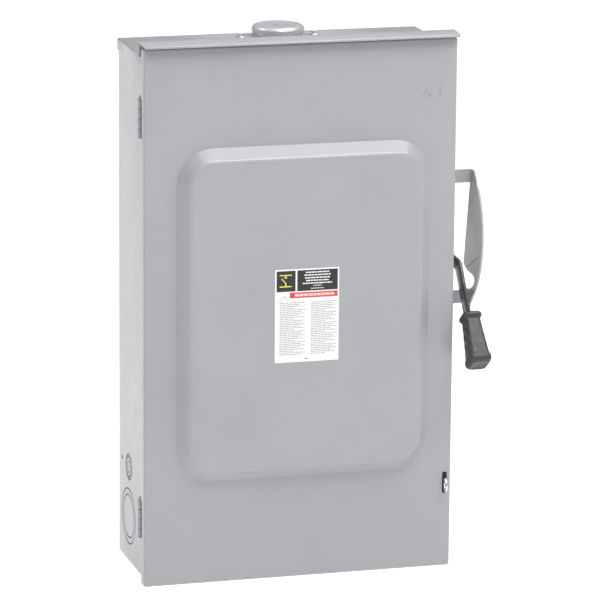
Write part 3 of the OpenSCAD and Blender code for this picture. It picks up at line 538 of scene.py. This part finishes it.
def top_cap():
    """Top end wall: plate with side flanges over the wrapper, and a front flange behind the door."""
    half = SHEET / 2
    side, top = cap_high.x - half, HALF_H - half
    foot = cap_low.z
    leaf = -148.0
    cap = bent_sheet(
        "top_cap", [(-side, foot), (-side, top), (side, top), (side, foot)], 2.0, (leaf, cap_high.y), along_y
    )
    inner = HALF_W - SHEET - 12
    lip = bent_sheet(
        "lip", [(leaf - 4, top), (-BOX_D + half, top), (-BOX_D + half, foot)], 2.0, (-inner, inner), along_x
    )
    tongue = slab("tongue", (-cap_high.x, -BOX_D, HALF_H - SHEET), (cap_high.x, leaf + 3, HALF_H))
    gap = slab("gap", (-inner, -BOX_D - 1, HALF_H - SHEET - 1), (inner, -BOX_D + 4, HALF_H + 1))
    combine(tongue, [gap], "DIFFERENCE")
    combine(cap, [lip, tongue], "UNION")
    low, high = box_mm("hub_screws")
    y = (low.y + high.y) / 2
    holes = [hole((0, y), 31, (HALF_H - HOLE_REACH, HALF_H + HOLE_REACH), along_z, 64)]
    combine(cap, holes, "DIFFERENCE")
    return show(soften(cap, 0.25), "enclosure", "gray_paint", "top_endwall")


def bottom_wall():
    """Bottom end wall with front and back flanges, knockouts and drain holes."""
    half = SHEET / 2
    low, high = box_mm("bottom_endwall")
    inner = HALF_W - SHEET - 12
    path = [(low.y + half, high.z), (low.y + half, low.z + half),
            (high.y - half, low.z + half), (high.y - half, high.z)]
    wall = bent_sheet("bottom_wall", path, 2.0, (-inner, inner), along_x)
    wings = [slab("wing", (s * (inner + high.x) / 2 - (high.x - inner) / 2 - 0.2, low.y + 3, low.z),
                  (s * (inner + high.x) / 2 + (high.x - inner) / 2 - 0.2 * s, high.y, low.z + SHEET)) for s in (-1, 1)]
    combine(wall, wings, "UNION")
    span = (low.z - HOLE_REACH, low.z + HOLE_REACH)
    cutters = []
    for i in (-1, 0, 1):
        rings = BIG_RINGS if i else SMALL_RINGS
        cutters += knockout_cutters(rings, span, lambda u, v, w, i=i: (110 * i + u, v - 85, w))
    cutters += [hole((170 * s, -150), 3, span, along_z, 32) for s in (-1, 1)]
    combine(wall, cutters, "DIFFERENCE")
    return show(soften(wall, 0.25), "enclosure", "gray_paint", "bottom_endwall")


def hood():
    """Drip hood bent from one strip, its foot narrower than the hood."""
    half = SHEET / 2
    leaf = -148.0 - half
    lip_y = hood_low.y + half
    front_top = hood_high.z - 2
    lip_h, mitre = 3.4, 3.5
    cover = [(leaf, hood_low.z), (leaf, hood_high.z - half), (lip_y, front_top - half), (lip_y, front_top - lip_h)]
    body = bent_sheet("rain_hood", cover, 1.7, (hood_low.x, hood_high.x), along_x)
    foot = [(-BOX_D + 2, hood_low.z + half), (leaf, hood_low.z + half), (leaf, hood_low.z + 9)]
    flange = bent_sheet("foot", foot, 1.7, (-HALF_W, HALF_W), along_x)
    notch = slab("notch", (-HALF_W, leaf - half - 0.01, hood_low.z - 1), (HALF_W, leaf + half + 0.01, hood_low.z + 5))
    ends = [prism("mitre", [(s * (hood_high.x - mitre), front_top - 5), (s * (hood_high.x + 1), front_top - 5),
                            (s * (hood_high.x + 1), front_top - 0.4), (s * hood_high.x, front_top - 0.9)],
                  (hood_low.y - 1, hood_low.y + 3), along_y) for s in (-1, 1)]
    combine(body, [notch] + ends, "DIFFERENCE")
    combine(body, [flange], "UNION")
    return show(soften(body, 0.2), "enclosure", "gray_paint", "drip_hood")


# ---- door ----

RAISE_BOX = (door_low.x + 44, door_high.x - 36, door_low.z + 143, door_high.z - 135.5)
RAISE_SLOPE = 16.0
RAISE_R = 50.0
CORNER_STEPS = 16


def door_sections():
    """Stations of the door skin from its rim to its crown: box, corner radius, depth, outward normal."""
    width = (door_low.x, door_high.x, door_low.z, door_high.z)
    bend, foot_bend, crown_bend = 2.6, 2.2, 12.0
    steep = math.atan2(RAISE_H, RAISE_SLOPE)

    def inset(box, d):
        return (box[0] + d, box[1] - d, box[2] + d, box[3] - d)

    stations = []

    def add(box, d, base_r, y, along, out):
        stations.append((inset(box, d), max(base_r - d, 0.05), y, along, out))

    corner_r = bend + 0.6
    back = -DOOR_FRONT + DOOR_FLANGE
    add(width, 0, corner_r, back, -1, 0)
    for k in range(6):
        a = math.radians(18 * k)
        add(width, bend * (1 - math.cos(a)), corner_r, -DOOR_FRONT + bend * (1 - math.sin(a)),
            -math.cos(a), math.sin(a))
    reach = foot_bend * math.tan(steep / 2)
    for k in range(6):
        a = steep * k / 5
        d = -reach + foot_bend * math.sin(a)
        add(RAISE_BOX, d, RAISE_R, -DOOR_FRONT - foot_bend * (1 - math.cos(a)), -math.sin(a), math.cos(a))
    reach = crown_bend * math.tan(steep / 2)
    for k in range(13):
        a = steep * (1 - k / 12)
        d = RAISE_SLOPE + reach - crown_bend * math.sin(a)
        add(RAISE_BOX, d, RAISE_R, CROWN_Y + crown_bend * (1 - math.cos(a)), -math.sin(a), math.cos(a))
    return stations


def door_skin():
    """Door pressed from one sheet: rolled flanges, flat margin and a softly bent raised panel."""
    rings = [[], []]
    for face, t in ((0, 0.0), (1, SHEET)):
        for box, r, y, along, out in door_sections():
            d = -along * t
            moved = (box[0] + d, box[1] - d, box[2] + d, box[3] - d)
            ring = rounded_box(moved, max(r - d, 0.05), CORNER_STEPS)
            rings[face].append([(u, y + out * t, v) for u, v in ring])
    stack = rings[1][::-1] + rings[0]
    skin = loft("door_skin", stack)
    low, high = box_mm("hasp_tab")
    x = (low.x + high.x) / 2
    slot = rounded_box((x - 2.9, x + 3.7, low.z - 2, high.z + 8), 1.5, 5)
    cutters = [prism("slot", slot, (-DOOR_FRONT - 3, -DOOR_FRONT + 3), along_y)]
    for name in ("upper", "lower"):
        low, high = box_mm(name + "_hinge_door_leaf")
        notch_low = (door_low.x - 1, -DOOR_FRONT + DOOR_FLANGE - HINGE_NOTCH, low.z - 1)
        notch_high = (door_low.x + SHEET + 1, -DOOR_FRONT + DOOR_FLANGE + 1, high.z + 1)
        cutters.append(slab("notch", notch_low, notch_high))
    combine(skin, cutters, "DIFFERENCE")
    smooth(skin, 50)
    return show(skin, "door", "gray_paint", "door_panel")


def position_mark():
    """Raised arrow head and bar beside the handle's upper position."""
    x, z = door_high.x - 32, door_high.z - 72
    back, front = -DOOR_FRONT + 0.4, -DOOR_FRONT - 0.7
    arrow = [(x - 17, z - 6), (x - 9, z + 7), (x - 1, z - 6), (x - 4.4, z - 6), (x - 9, z + 1.4), (x - 13.6, z - 6)]
    bar = [(x + 8, z - 6), (x + 11, z - 6), (x + 11, z + 7), (x + 8, z + 7)]
    mark = prism("position_mark", arrow, (front, back), along_y)
    combine(mark, [prism("bar", bar, (front, back), along_y)], "UNION")
    return show(soften(mark, 0.35, 30, 3), "door", "gray_paint")


# ---- labels ----

def tiles(name, size, at, y, facing, marks, base="white_label"):
    """Printed label: a thin sheet whose face is cut into coloured tiles.

    marks are (u0, u1, v0, v1, ink) with u across and v down from the label's top left corner."""
    width, height = size
    marks = [m for m in marks if m[1] > m[0] and m[3] > m[2]]
    us = sorted({0.0, width, *[round(m[k], 3) for m in marks for k in (0, 1)]})
    vs = sorted({0.0, height, *[round(m[k], 3) for m in marks for k in (2, 3)]})
    inks = [base] + sorted({m[4] for m in marks})
    thick = 0.25
    low, high = (y, y + thick) if facing < 0 else (y - thick, y)
    front = low if facing < 0 else high
    back = high if facing < 0 else low
    mesh = bpy.data.meshes.new(name)
    work = bmesh.new()
    grid = {}
    for i, u in enumerate(us):
        for j, v in enumerate(vs):
            grid[i, j] = work.verts.new(Vector((at[0] - width / 2 + u, front, at[1] + height / 2 - v)) * MM)
    for i in range(len(us) - 1):
        for j in range(len(vs) - 1):
            u, v = (us[i] + us[i + 1]) / 2, (vs[j] + vs[j + 1]) / 2
            ink = base
            for m in marks:
                if m[0] < u < m[1] and m[2] < v < m[3]:
                    ink = m[4]
            face = work.faces.new((grid[i, j], grid[i + 1, j], grid[i + 1, j + 1], grid[i, j + 1]))
            face.material_index = inks.index(ink)
    rim = [grid[i, 0] for i in range(len(us))] + [grid[len(us) - 1, j] for j in range(1, len(vs))]
    rim += [grid[i, len(vs) - 1] for i in range(len(us) - 2, -1, -1)] + [grid[0, j] for j in range(len(vs) - 2, 0, -1)]
    under = [work.verts.new((v.co.x, back * MM, v.co.z)) for v in rim]
    count = len(rim)
    for k in range(count):
        m = (k + 1) % count
        work.faces.new((rim[k], rim[m], under[m], under[k]))
    work.faces.new(under)
    bmesh.ops.dissolve_limit(
        work, angle_limit=0.01, verts=work.verts, edges=work.edges, delimit={"MATERIAL", "NORMAL"}
    )
    bmesh.ops.recalc_face_normals(work, faces=work.faces)
    work.to_mesh(mesh)
    work.free()
    obj = bpy.data.objects.new(name, mesh)
    bpy.context.scene.collection.objects.link(obj)
    for ink in inks:
        mesh.materials.append(material(ink))
    return obj


def word_bars(u0, u1, v, height, ink, seed, centred=False, fill=0.8):
    """A row of short bars that stands for a line of small print."""
    row, u = [], u0
    stop = u0 + (u1 - u0) * fill
    step = seed
    while u < stop:
        step = (step * 37 + 11) % 101
        length = 1.6 + 4.2 * step / 100
        row.append([u, min(u + length, stop), v, v + height, ink])
        u += length + 0.7
    if centred:
        shift = (u1 - row[-1][1]) / 2
        for bar in row:
            bar[0] += shift
            bar[1] += shift
    return [tuple(bar) for bar in row]


def door_sign():
    """Label on the raised panel: dark header with a generic switch symbol, red bar and grey print rows."""
    low, high = box_mm("door_label")
    size = (high.x - low.x, high.z - low.z)
    at = ((low.x + high.x) / 2, (low.z + high.z) / 2)
    margin, header = 2.0, 30.5
    split = 29.5
    marks = [(margin, split - 1.2, margin, header, "ink_black"),
             (split + 1.2, size[0] - margin, margin, header, "ink_black")]
    marks += switch_symbol(margin + 4.2, margin + 5.2)
    fills = (0.62, 0.7, 0.66, 0.6, 0.78, 0.22, 0.34)
    for i, fill in enumerate(fills):
        tall = 1.7 if i < 5 else 1.0
        v = margin + 2.4 + i * 3.75
        marks += word_bars(split + 3, size[0] - margin - 2, v, tall, "white_label", 7 * i + 3, True, fill)
    marks.append((split - 9, size[0] - margin, header + 1.6, header + 9.4, "ink_red"))
    marks += word_bars(split - 2, size[0] - margin - 3, header + 3.6, 3.6, "ink_pink", 5, False, 0.97)
    for k in range(7):
        marks.append((margin + 4 + k, margin + 4.9 + k, header + 12.5 - k, header + 13.6 - k, "ink_red"))
        marks.append((margin + 10 + k, margin + 10.9 + k, header + 5.5 + k, header + 6.6 + k, "ink_red"))
    half = size[0] / 2
    rows = 30
    top = header + 15
    pitch = (size[1] - top - 9) / rows
    for i in range(rows):
        v = top + i * pitch
        for column in (0, 1):
            u0 = margin + 1.5 + column * (half - 1)
            fill = (0.94, 0.82, 0.97, 0.55, 0.9, 0.74)[(i * 5 + column * 2) % 6]
            marks += word_bars(u0 + 3, u0 + half - 4.5, v, 1.15, "ink_gray", 13 * i + 29 * column + 2, False, fill)
        if i % 4 == 0:
            marks.append((margin + 1.5, margin + 2.4, v, v + 0.9, "ink_black"))
    marks += word_bars(half - 4, half + 4, size[1] - 5, 1.3, "ink_black", 9, True, 0.6)
    sign = tiles("door_sign", size, at, high.y - 0.25, -1, marks)
    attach(sign, "door")
    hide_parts("door_label")
    return sign


def switch_symbol(u, v):
    """Generic open-switch diagram in an 17 mm square: two terminals, a raised blade and its frame."""
    frame_t = 1.5
    side = 17.0
    marks = [
        (u, u + side, v, v + frame_t), (u, u + side, v + side - frame_t, v + side),
        (u + side / 2 - 0.9, u + side / 2 + 0.9, v + 11.6, v + side),
        (u + side / 2 - 0.9, u + side / 2 + 0.9, v, v + 4.4),
        (u + side / 2 - 2.2, u + side / 2 + 2.2, v + 3.6, v + 4.8),
    ]
    for k in range(8):
        marks.append((u + side / 2 - 6.2 + 0.8 * k, u + side / 2 - 4.8 + 0.8 * k, v + 4.9 + 0.9 * k, v + 6.1 + 0.9 * k))
    return [(*m, "ink_yellow") for m in marks]


def diagram_sign():
    """Wiring diagram inside the door: three poles with blade, fuse and terminals, and rows of print."""
    low, high = box_mm("wiring_label")
    size = (high.x - low.x, high.z - low.z)
    at = ((low.x + high.x) / 2, (low.z + high.z) / 2)
    marks = [(4, size[0] - 4, 4, 16, "ink_black")]
    marks += word_bars(10, size[0] - 10, 8, 3, "white_label", 17, True, 0.8)
    for i in range(3):
        u = size[0] / 2 + (i - 1) * 22
        marks += [(u - 0.5, u + 0.5, 24, 38, "ink_black"), (u - 2, u + 2, 38, 40, "ink_black"),
                  (u - 0.5, u + 0.5, 52, 60, "ink_black"), (u - 0.5, u + 0.5, 76, 92, "ink_black")]
        marks += [(u - 5.6 + 0.7 * k, u - 4.4 + 0.7 * k, 41 + 1.4 * k, 42.6 + 1.4 * k, "ink_black") for k in range(8)]
        marks += [(u - 3, u + 3, 60, 61, "ink_black"), (u - 3, u + 3, 75, 76, "ink_black"),
                  (u - 3, u - 2.2, 60, 76, "ink_black"), (u + 2.2, u + 3, 60, 76, "ink_black")]
    marks.append((6, size[0] - 6, 98, 98.8, "ink_black"))
    for i in range(20):
        v = 104 + i * 4
        fill = (0.95, 0.8, 0.9, 0.6, 0.97)[i % 5]
        marks += word_bars(8, size[0] - 8, v, 1.4, "ink_gray", 11 * i + 5, False, fill)
    sign = tiles("wiring_diagram", size, at, low.y + 0.25, 1, marks)
    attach(sign, "door")
    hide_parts("wiring_label")
    return sign


# ---- hub closing cap ----

def hub_cap():
    """Cast closing cap: bulging dome with a dished top, on an eared flange."""
    low, high = box_mm("hub_closing_cap")
    y = (low.y + high.y) / 2
    base = low.z
    rise = high.z - base
    r = 36.0
    profile = [(0.01, 3), (r - 6, 3), (r - 6, 0), (r - 1.5, 0), (r - 1.5, 3.5)]
    profile += [(r - 3.2 + 1.0 * math.sin(math.radians(a)), 4.6 - 1.1 * math.cos(math.radians(a)))
                for a in (20, 60, 90)]
    side = rise * 0.62
    profile += [(r - 2.2 + 2.2 * math.sin(math.radians(a)), 5.5 + (side - 5.5) * a / 90) for a in range(15, 91, 15)]
    top_r = rise - side
    profile += [(r - top_r * 1.15 * (1 - math.cos(math.radians(a))), side + (top_r - 0.1) * math.sin(math.radians(a)))
                for a in range(10, 91, 8)]
    edge = profile[-1][0]
    profile += [(edge - 1.5, rise), (edge - 4.5, rise - 0.5), (edge - 9, rise - 1.1), (0.01, rise - 1.5)]
    dome = revolve("hub_cap", profile, (0, y, base), 96)
    ear_x = 51.5
    outline = ear_outline(37.0, 8.5, ear_x)
    ears = prism("ears", [(u, v + y) for u, v in outline], (base, base + 2), along_z)
    holes = [hole((s * ear_x, y), 2.6, (base - 1, base + 3), along_z, 32) for s in (-1, 1)]
    bore = hole((0, y), r - 6, (base - 1, base + 3), along_z, 96)
    combine(ears, holes + [bore], "DIFFERENCE")
    combine(dome, [ears], "UNION")
    return show(soften(dome, 0.5, 40, 3), "enclosure", "hub_casting", "hub_closing_cap")


def ear_outline(disc_r, ear_r, ear_x, count=64):
    """Outline of a disc and two ear circles joined by tangent lines."""
    lean = math.degrees(math.asin((disc_r - ear_r) / ear_x))
    upper = 90 - lean
    points = circle((ear_x, 0), ear_r, 12, -upper, 2 * upper)
    points += circle((0, 0), disc_r, count // 4, upper, 180 - 2 * upper)
    points += circle((-ear_x, 0), ear_r, 12, 180 - upper, 2 * upper)
    points += circle((0, 0), disc_r, count // 4, 180 + upper, 180 - 2 * upper)
    return points


# ---- handle ----

TILT = math.radians(-36)
GRIP_LEN = 76.0
HANDLE_LEN = 194.0
ARM_END = HANDLE_LEN - 40
ARM_W = 24.0
ARM_CHANNEL = 7.4


def in_handle(x, y, z):
    """Frame point of the lowered handle's own coordinates: origin at the shaft, arm along -Z."""
    c, s = math.cos(TILT), math.sin(TILT)
    return (x, shaft.y + y * c - z * s, shaft.z + y * s + z * c)


def grip():
    """Moulded grip: collar, tapered body with finger flutes on both sides, and a flared end."""
    grip_low, grip_high = box_mm("handle_grip")
    mid_x = (grip_low.x + grip_high.x) / 2
    top = HANDLE_LEN - GRIP_LEN
    # distance from the top, half width, half depth
    outline = [
        (0.0, 9.6, 11.0), (0.6, 11.2, 12.6), (1.8, 12.6, 14.0), (3.4, 13.5, 15.0), (5.4, 13.7, 15.2),
        (7.2, 13.2, 14.7), (8.6, 12.2, 13.6), (9.8, 11.2, 12.9), (11.5, 10.9, 12.8), (14.0, 11.0, 13.0),
        (60.0, 14.0, 17.0), (62.5, 14.4, 17.5), (64.5, 15.3, 18.3), (66.5, 15.7, 18.7), (69.5, 15.7, 18.7),
        (71.5, 15.3, 18.3), (73.3, 14.3, 17.2), (74.8, 13.0, 15.8), (75.6, 12.0, 14.6), (76.0, 10.8, 13.2),
    ]
    flute_zone = (17.0, 58.0)
    stations = []
    for (s0, w0, d0), (s1, w1, d1) in zip(outline, outline[1:]):
        steps = max(1, round((s1 - s0) / 1.0))
        stations += [(s0 + (s1 - s0) * k / steps, w0 + (w1 - w0) * k / steps, d0 + (d1 - d0) * k / steps)
                     for k in range(steps)]
    stations.append(outline[-1])
    count = 72
    rings = []
    for s, w, d in stations:
        edge = min(max(min(s - flute_zone[0], flute_zone[1] - s) / 5.0, 0.0), 1.0)
        ring = []
        for k in range(count):
            a = 2 * math.pi * (k + 0.5) / count
            ca, sa = math.cos(a), math.sin(a)
            power = 2 / 5.0
            x = w * math.copysign(abs(ca) ** power, ca)
            y = d * math.copysign(abs(sa) ** power, sa)
            flat = max(0.0, 1 - (abs(y) / (0.86 * d)) ** 6) * edge
            wave = (s + 0.7 * y) / 13.0
            cut = 2.0 * flat * (0.5 - 0.5 * math.cos(2 * math.pi * wave)) ** 2
            x -= math.copysign(cut, x) if abs(x) > w * 0.6 else 0.0
            ring.append(in_handle(mid_x + x, y, -(top + s)))
        rings.append(ring)
    for shrink, sink in ((0.9, 0.0), (0.84, 0.7), (0.5, 0.9)):
        s, w, d = stations[-1]
        last = []
        for k in range(count):
            a = 2 * math.pi * (k + 0.5) / count
            ca, sa = math.cos(a), math.sin(a)
            x = w * shrink * math.copysign(abs(ca) ** 0.45, ca)
            y = d * shrink * math.copysign(abs(sa) ** 0.45, sa)
            last.append(in_handle(mid_x + x, y, -(top + s - sink)))
        rings.append(last)
    piece = loft("moulded_grip", rings)
    arm_high = box_mm("handle_arm")[1]
    half_d = ARM_W / 2 + 0.2
    pocket = rounded_box((arm_high.x - ARM_CHANNEL - 0.2, arm_high.x + 0.2, -half_d, half_d), 1.0, 3)
    place = lambda u, v, w: in_handle(u, v, w)
    combine(piece, [prism("pocket", pocket, (-ARM_END - 1, -top + 2), place)], "DIFFERENCE")
    smooth(piece, 48)
    return show(piece, "handle", "black_grip", "handle_grip")


def arm():
    """Steel arm: hub, a strap in a smooth joggle, and a channel folded from the strap's front edge."""
    low, high = box_mm("handle_arm")
    w = ARM_W / 2
    t = 3.0
    inner_x, outer_x = low.x + 8.4 - t / 2, high.x - ARM_CHANNEL + t / 2
    run = [(inner_x, 2), (inner_x, -27), (outer_x, -45), (outer_x, -ARM_END)]
    strap = bent_sheet("handle_arm_strap", run, 12.0, (-w, w), lambda u, v, k: in_handle(u, k, v), t)
    web_t = 2.4
    fold = [(outer_x, w), (outer_x, -w + web_t / 2), (high.x - web_t / 2, -w + web_t / 2), (high.x - web_t / 2, w - 4)]
    channel = bent_sheet("channel", fold, 2.6, (-ARM_END, -43), in_handle, web_t)
    trim = prism("trim", [(outer_x + 1.3, -42), (high.x + 2, -42), (high.x + 2, -50), (outer_x + 1.3, -43.4)],
                 (-w - 1, w + 1), lambda u, v, k: in_handle(u, k, v))
    combine(channel, [trim], "DIFFERENCE")
    hub = prism("hub", circle((0, 0), 14, 64), (low.x, low.x + 8.4), lambda u, v, k: in_handle(k, u, v))
    combine(strap, [channel, hub], "UNION")
    bore = prism("bore", circle((0, 0), 7, 48), (low.x - 1, low.x + 12), lambda u, v, k: in_handle(k, u, v))
    pin = prism("pin", circle((0, -ARM_END + 10), 3, 32), (outer_x - 5, high.x + 5), lambda u, v, k: in_handle(k, u, v))
    combine(strap, [bore, pin], "DIFFERENCE")
    return show(soften(strap, 0.35, 35), "handle", "arm_steel", "handle_arm")


# ---- handle guard ----

GUARD_T = 2.5
GUARD_R = 117.0
TAB_H = 18.0
TAB_FOOT = 20.0


def guard():
    """Guard: a crescent plate with a pressed crease, on two folded straps riveted to the box side."""
    low, high = box_mm("guard_bracket")
    plate_x = high.x - GUARD_T
    upper, lower = (-118.0, high.z - TAB_H), (-97.0, low.z)
    centre = (-58.0, shaft.z + 5)
    arc = [(centre[0] - GUARD_R * math.cos(math.radians(a)), centre[1] - GUARD_R * math.sin(math.radians(a)))
           for a in range(-49, 50, 3)]
    inner = [(-97, 9), (-112, 11), (-124, 14), (-134, 18), (-142, 24), (-145, 30), (-142, 34), (-136, 36),
             (-124, 36.5), (-111, 37), (-102, 40), (-96, 45)]
    outline = arc + [(lower[0] - 22, lower[1] - 3), lower] + inner + [upper, (upper[0], upper[1] + TAB_H)]
    plate = prism("guard", outline, (plate_x, high.x), along_x)
    straps = []
    for y, z in (upper, lower):
        path = [(plate_x + GUARD_T / 2, y - 12), (plate_x + GUARD_T / 2, y - GUARD_T / 2),
                (HALF_W + GUARD_T / 2, y - GUARD_T / 2), (HALF_W + GUARD_T / 2, y + TAB_FOOT)]
        straps.append(bent_sheet("strap", path, 3.0, (z, z + TAB_H), along_z, GUARD_T))
    combine(plate, straps, "UNION")
    crease_a, crease_b = Vector((-98.0, 34.5)), Vector((-156.0, 63.0))
    across = (crease_b - crease_a).normalized().orthogonal() * 1.1
    groove = prism("crease", [crease_a - across, crease_b - across, crease_b + across, crease_a + across],
                   (plate_x - 1, plate_x + 0.8), along_x)
    holes = [prism("hole", circle((y + TAB_FOOT - 8, z + TAB_H / 2), 3, 32), (HALF_W - 1, HALF_W + 5), along_x)
             for y, z in (upper, lower)]
    combine(plate, [groove] + holes, "DIFFERENCE")
    return show(soften(plate, 0.5, 30), "enclosure", "guard_paint", "guard_bracket")


def slot_shade_strip():
    """Black strip between the box's front return and the door, behind the door's hasp slot, placed as painted shade so
    the slot looks dark inside.
    """
    low, high = box_mm("hasp_tab")
    strip = slab("slot_shade_strip", (low.x - 2.5, -DOOR_FRONT + 1.8, low.z - 5), (low.x + 7.8, -BOX_D - 0.2, high.z + 13))
    gap = slab("gap", (low.x - 0.2, -DOOR_FRONT, low.z - 0.2), (high.x + 0.2, -BOX_D + 1, high.z + 0.2))
    combine(strip, [gap], "DIFFERENCE")
    # the black material on this strip is painted shade for the inside of the hasp slot
    return show(soften(strip, 0.3), "enclosure", "black_gasket")


# ---- operating spring ----

def spring():
    """Torsion spring: foot on the bracket side, six round turns and a tail into the collar."""
    low, high = box_mm("operating_spring")
    wire, radius, turns, per_turn = 1.3, 12.0, 6, 32
    x0, x1 = low.x + wire, high.x - 8
    path = [Vector((x0, -SHEET - 3, rotor.z + radius)), Vector((x0, rotor.y + 8, rotor.z + radius))]
    for i in range(turns * per_turn + 1):
        a = math.radians(90 + 360 * i / per_turn)
        u = i / (turns * per_turn)
        path.append(Vector((x0 + u * (x1 - x0), rotor.y - radius * math.cos(a), rotor.z + radius * math.sin(a))))
    path.append(Vector((high.x, rotor.y, rotor.z + radius)))
    sides = 12
    rings = []
    for i, point in enumerate(path):
        run = (path[min(i + 1, len(path) - 1)] - path[max(i - 1, 0)]).normalized()
        out = Vector((0, point.y - rotor.y, point.z - rotor.z)).normalized()
        flat = run.cross(out).normalized()
        up = flat.cross(run)
        rings.append([point + (up * math.cos(a) + flat * math.sin(a)) * wire
                      for a in [2 * math.pi * k / sides for k in range(sides)]])
    coil = loft("torsion_spring", rings)
    smooth(coil, 60)
    return show(coil, "enclosure", "spring_steel", "operating_spring")


# ---- carried-over shapes with worked edges ----

def refine(node, width=0.35, angle=35.0):
    """A piece with a CAD node's shape, its facets merged and its edges rounded."""
    source = frame["nodes"][node]
    mesh = source.data.copy()
    mesh.name = node + "_finished"
    obj = bpy.data.objects.new(node + "_finished", mesh)
    bpy.context.scene.collection.objects.link(obj)
    if mesh.has_custom_normals:
        bpy.context.view_layer.objects.active = obj
        bpy.ops.mesh.customdata_custom_splitnormals_clear()
    soften(obj, width, angle)
    return show(obj, body_of[node], slot_of[node], node)


CUSTOM = {
    "box_wrapper", "top_endwall", "bottom_endwall", "drip_hood", "door_panel", "door_label", "wiring_label",
    "hub_closing_cap", "handle_grip", "operating_spring", "handle_arm", "guard_bracket",
}
EDGE_WIDTH = {"line_base": 0.8, "switch_base": 0.8, "load_base": 0.8}


# ---- stage, light and camera ----

def stage():
    """Pale floor under the switch."""
    size, z = 60.0, door_low.z * MM
    mesh = bpy.data.meshes.new("floor")
    corners = [(-size, -size, z), (size, -size, z), (size, size, z), (-size, size, z)]
    mesh.from_pydata(corners, [], [(0, 1, 2, 3)])
    floor = bpy.data.objects.new("floor", mesh)
    bpy.context.scene.collection.objects.link(floor)
    n = Nodes("floor_white")
    grain = n.noise(3, 2)
    tint = n.ramp(grain, (0.3, (0.5, 0.5, 0.5)), (0.7, (0.53, 0.53, 0.53)))
    n.set(Emission_Color=(1, 1, 1, 1), Emission_Strength=0.8)
    n.finish(tint, n.between(grain, 0.85, 0.95))
    mesh.materials.append(n.material)


def area_light(name, at, target, size, power):
    data = bpy.data.lights.new(name, "AREA")
    data.shape = "RECTANGLE"
    data.size, data.size_y = size
    data.energy = power
    lamp = bpy.data.objects.new(name, data)
    lamp.location = at
    aim = Vector(target) - Vector(at)
    lamp.rotation_euler = aim.to_track_quat("-Z", "Y").to_euler()
    bpy.context.scene.collection.objects.link(lamp)


def lights():
    world = bpy.data.worlds.new("studio")
    world.use_nodes = True
    tree = world.node_tree
    sky = tree.nodes["Background"]
    sky.inputs["Color"].default_value = (1, 1, 1, 1)
    place = tree.nodes.new("ShaderNodeTexCoord")
    split = tree.nodes.new("ShaderNodeSeparateXYZ")
    rise = tree.nodes.new("ShaderNodeMapRange")
    for key, value in zip(("From Min", "From Max", "To Min", "To Max"), (0.0, 1.0, 0.27, 0.66)):
        rise.inputs[key].default_value = value
    tree.links.new(place.outputs["Generated"], split.inputs["Vector"])
    tree.links.new(split.outputs["Z"], rise.inputs["Value"])
    tree.links.new(rise.outputs["Result"], sky.inputs["Strength"])
    bpy.context.scene.world = world
    area_light("overhead", (0.5, -0.6, 2.4), (0.05, -0.1, 0.0), (2.6, 1.5), 39)
    area_light("front_strip", (0.8, -1.35, 2.2), (0.05, -0.15, 0.0), (2.6, 0.22), 33)
    area_light("left_wall", (-1.7, 0.5, 2.1), (0.0, 0.0, 0.3), (1.2, 0.9), 14)
    bpy.context.scene.view_settings.view_transform = "Standard"


def camera():
    """Camera at the product shot's angle: from the left of the front and a little above."""
    yaw, pitch, roll = math.radians(15.91), math.radians(13.38), math.radians(0.5)
    target = Vector((0.0542, 0.0, -0.0253))
    distance = 5.939
    forward = Vector((math.sin(yaw) * math.cos(pitch), math.cos(yaw) * math.cos(pitch), -math.sin(pitch)))
    level = forward.cross(Vector((0, 0, 1))).normalized()
    upright = level.cross(forward)
    right = level * math.cos(roll) + upright * math.sin(roll)
    up = upright * math.cos(roll) - level * math.sin(roll)
    data = bpy.data.cameras.new("camera")
    data.lens, data.sensor_width = 253.8, 36.0
    data.clip_start, data.clip_end = 0.1, 200.0
    cam = bpy.data.objects.new("camera", data)
    turn = Matrix((right, up, -forward)).transposed().to_4x4()
    cam.matrix_world = Matrix.Translation(target - forward * distance) @ turn
    bpy.context.scene.collection.objects.link(cam)
    bpy.context.scene.camera = cam


camera()
stage()
lights()
wrapper()
top_cap()
bottom_wall()
hood()
door_skin()
position_mark()
door_sign()
diagram_sign()
hub_cap()
arm()
grip()
guard()
slot_shade_strip()
spring()
for node in sorted(frame["nodes"]):
    if node not in CUSTOM:
        refine(node, EDGE_WIDTH.get(node, 0.3))
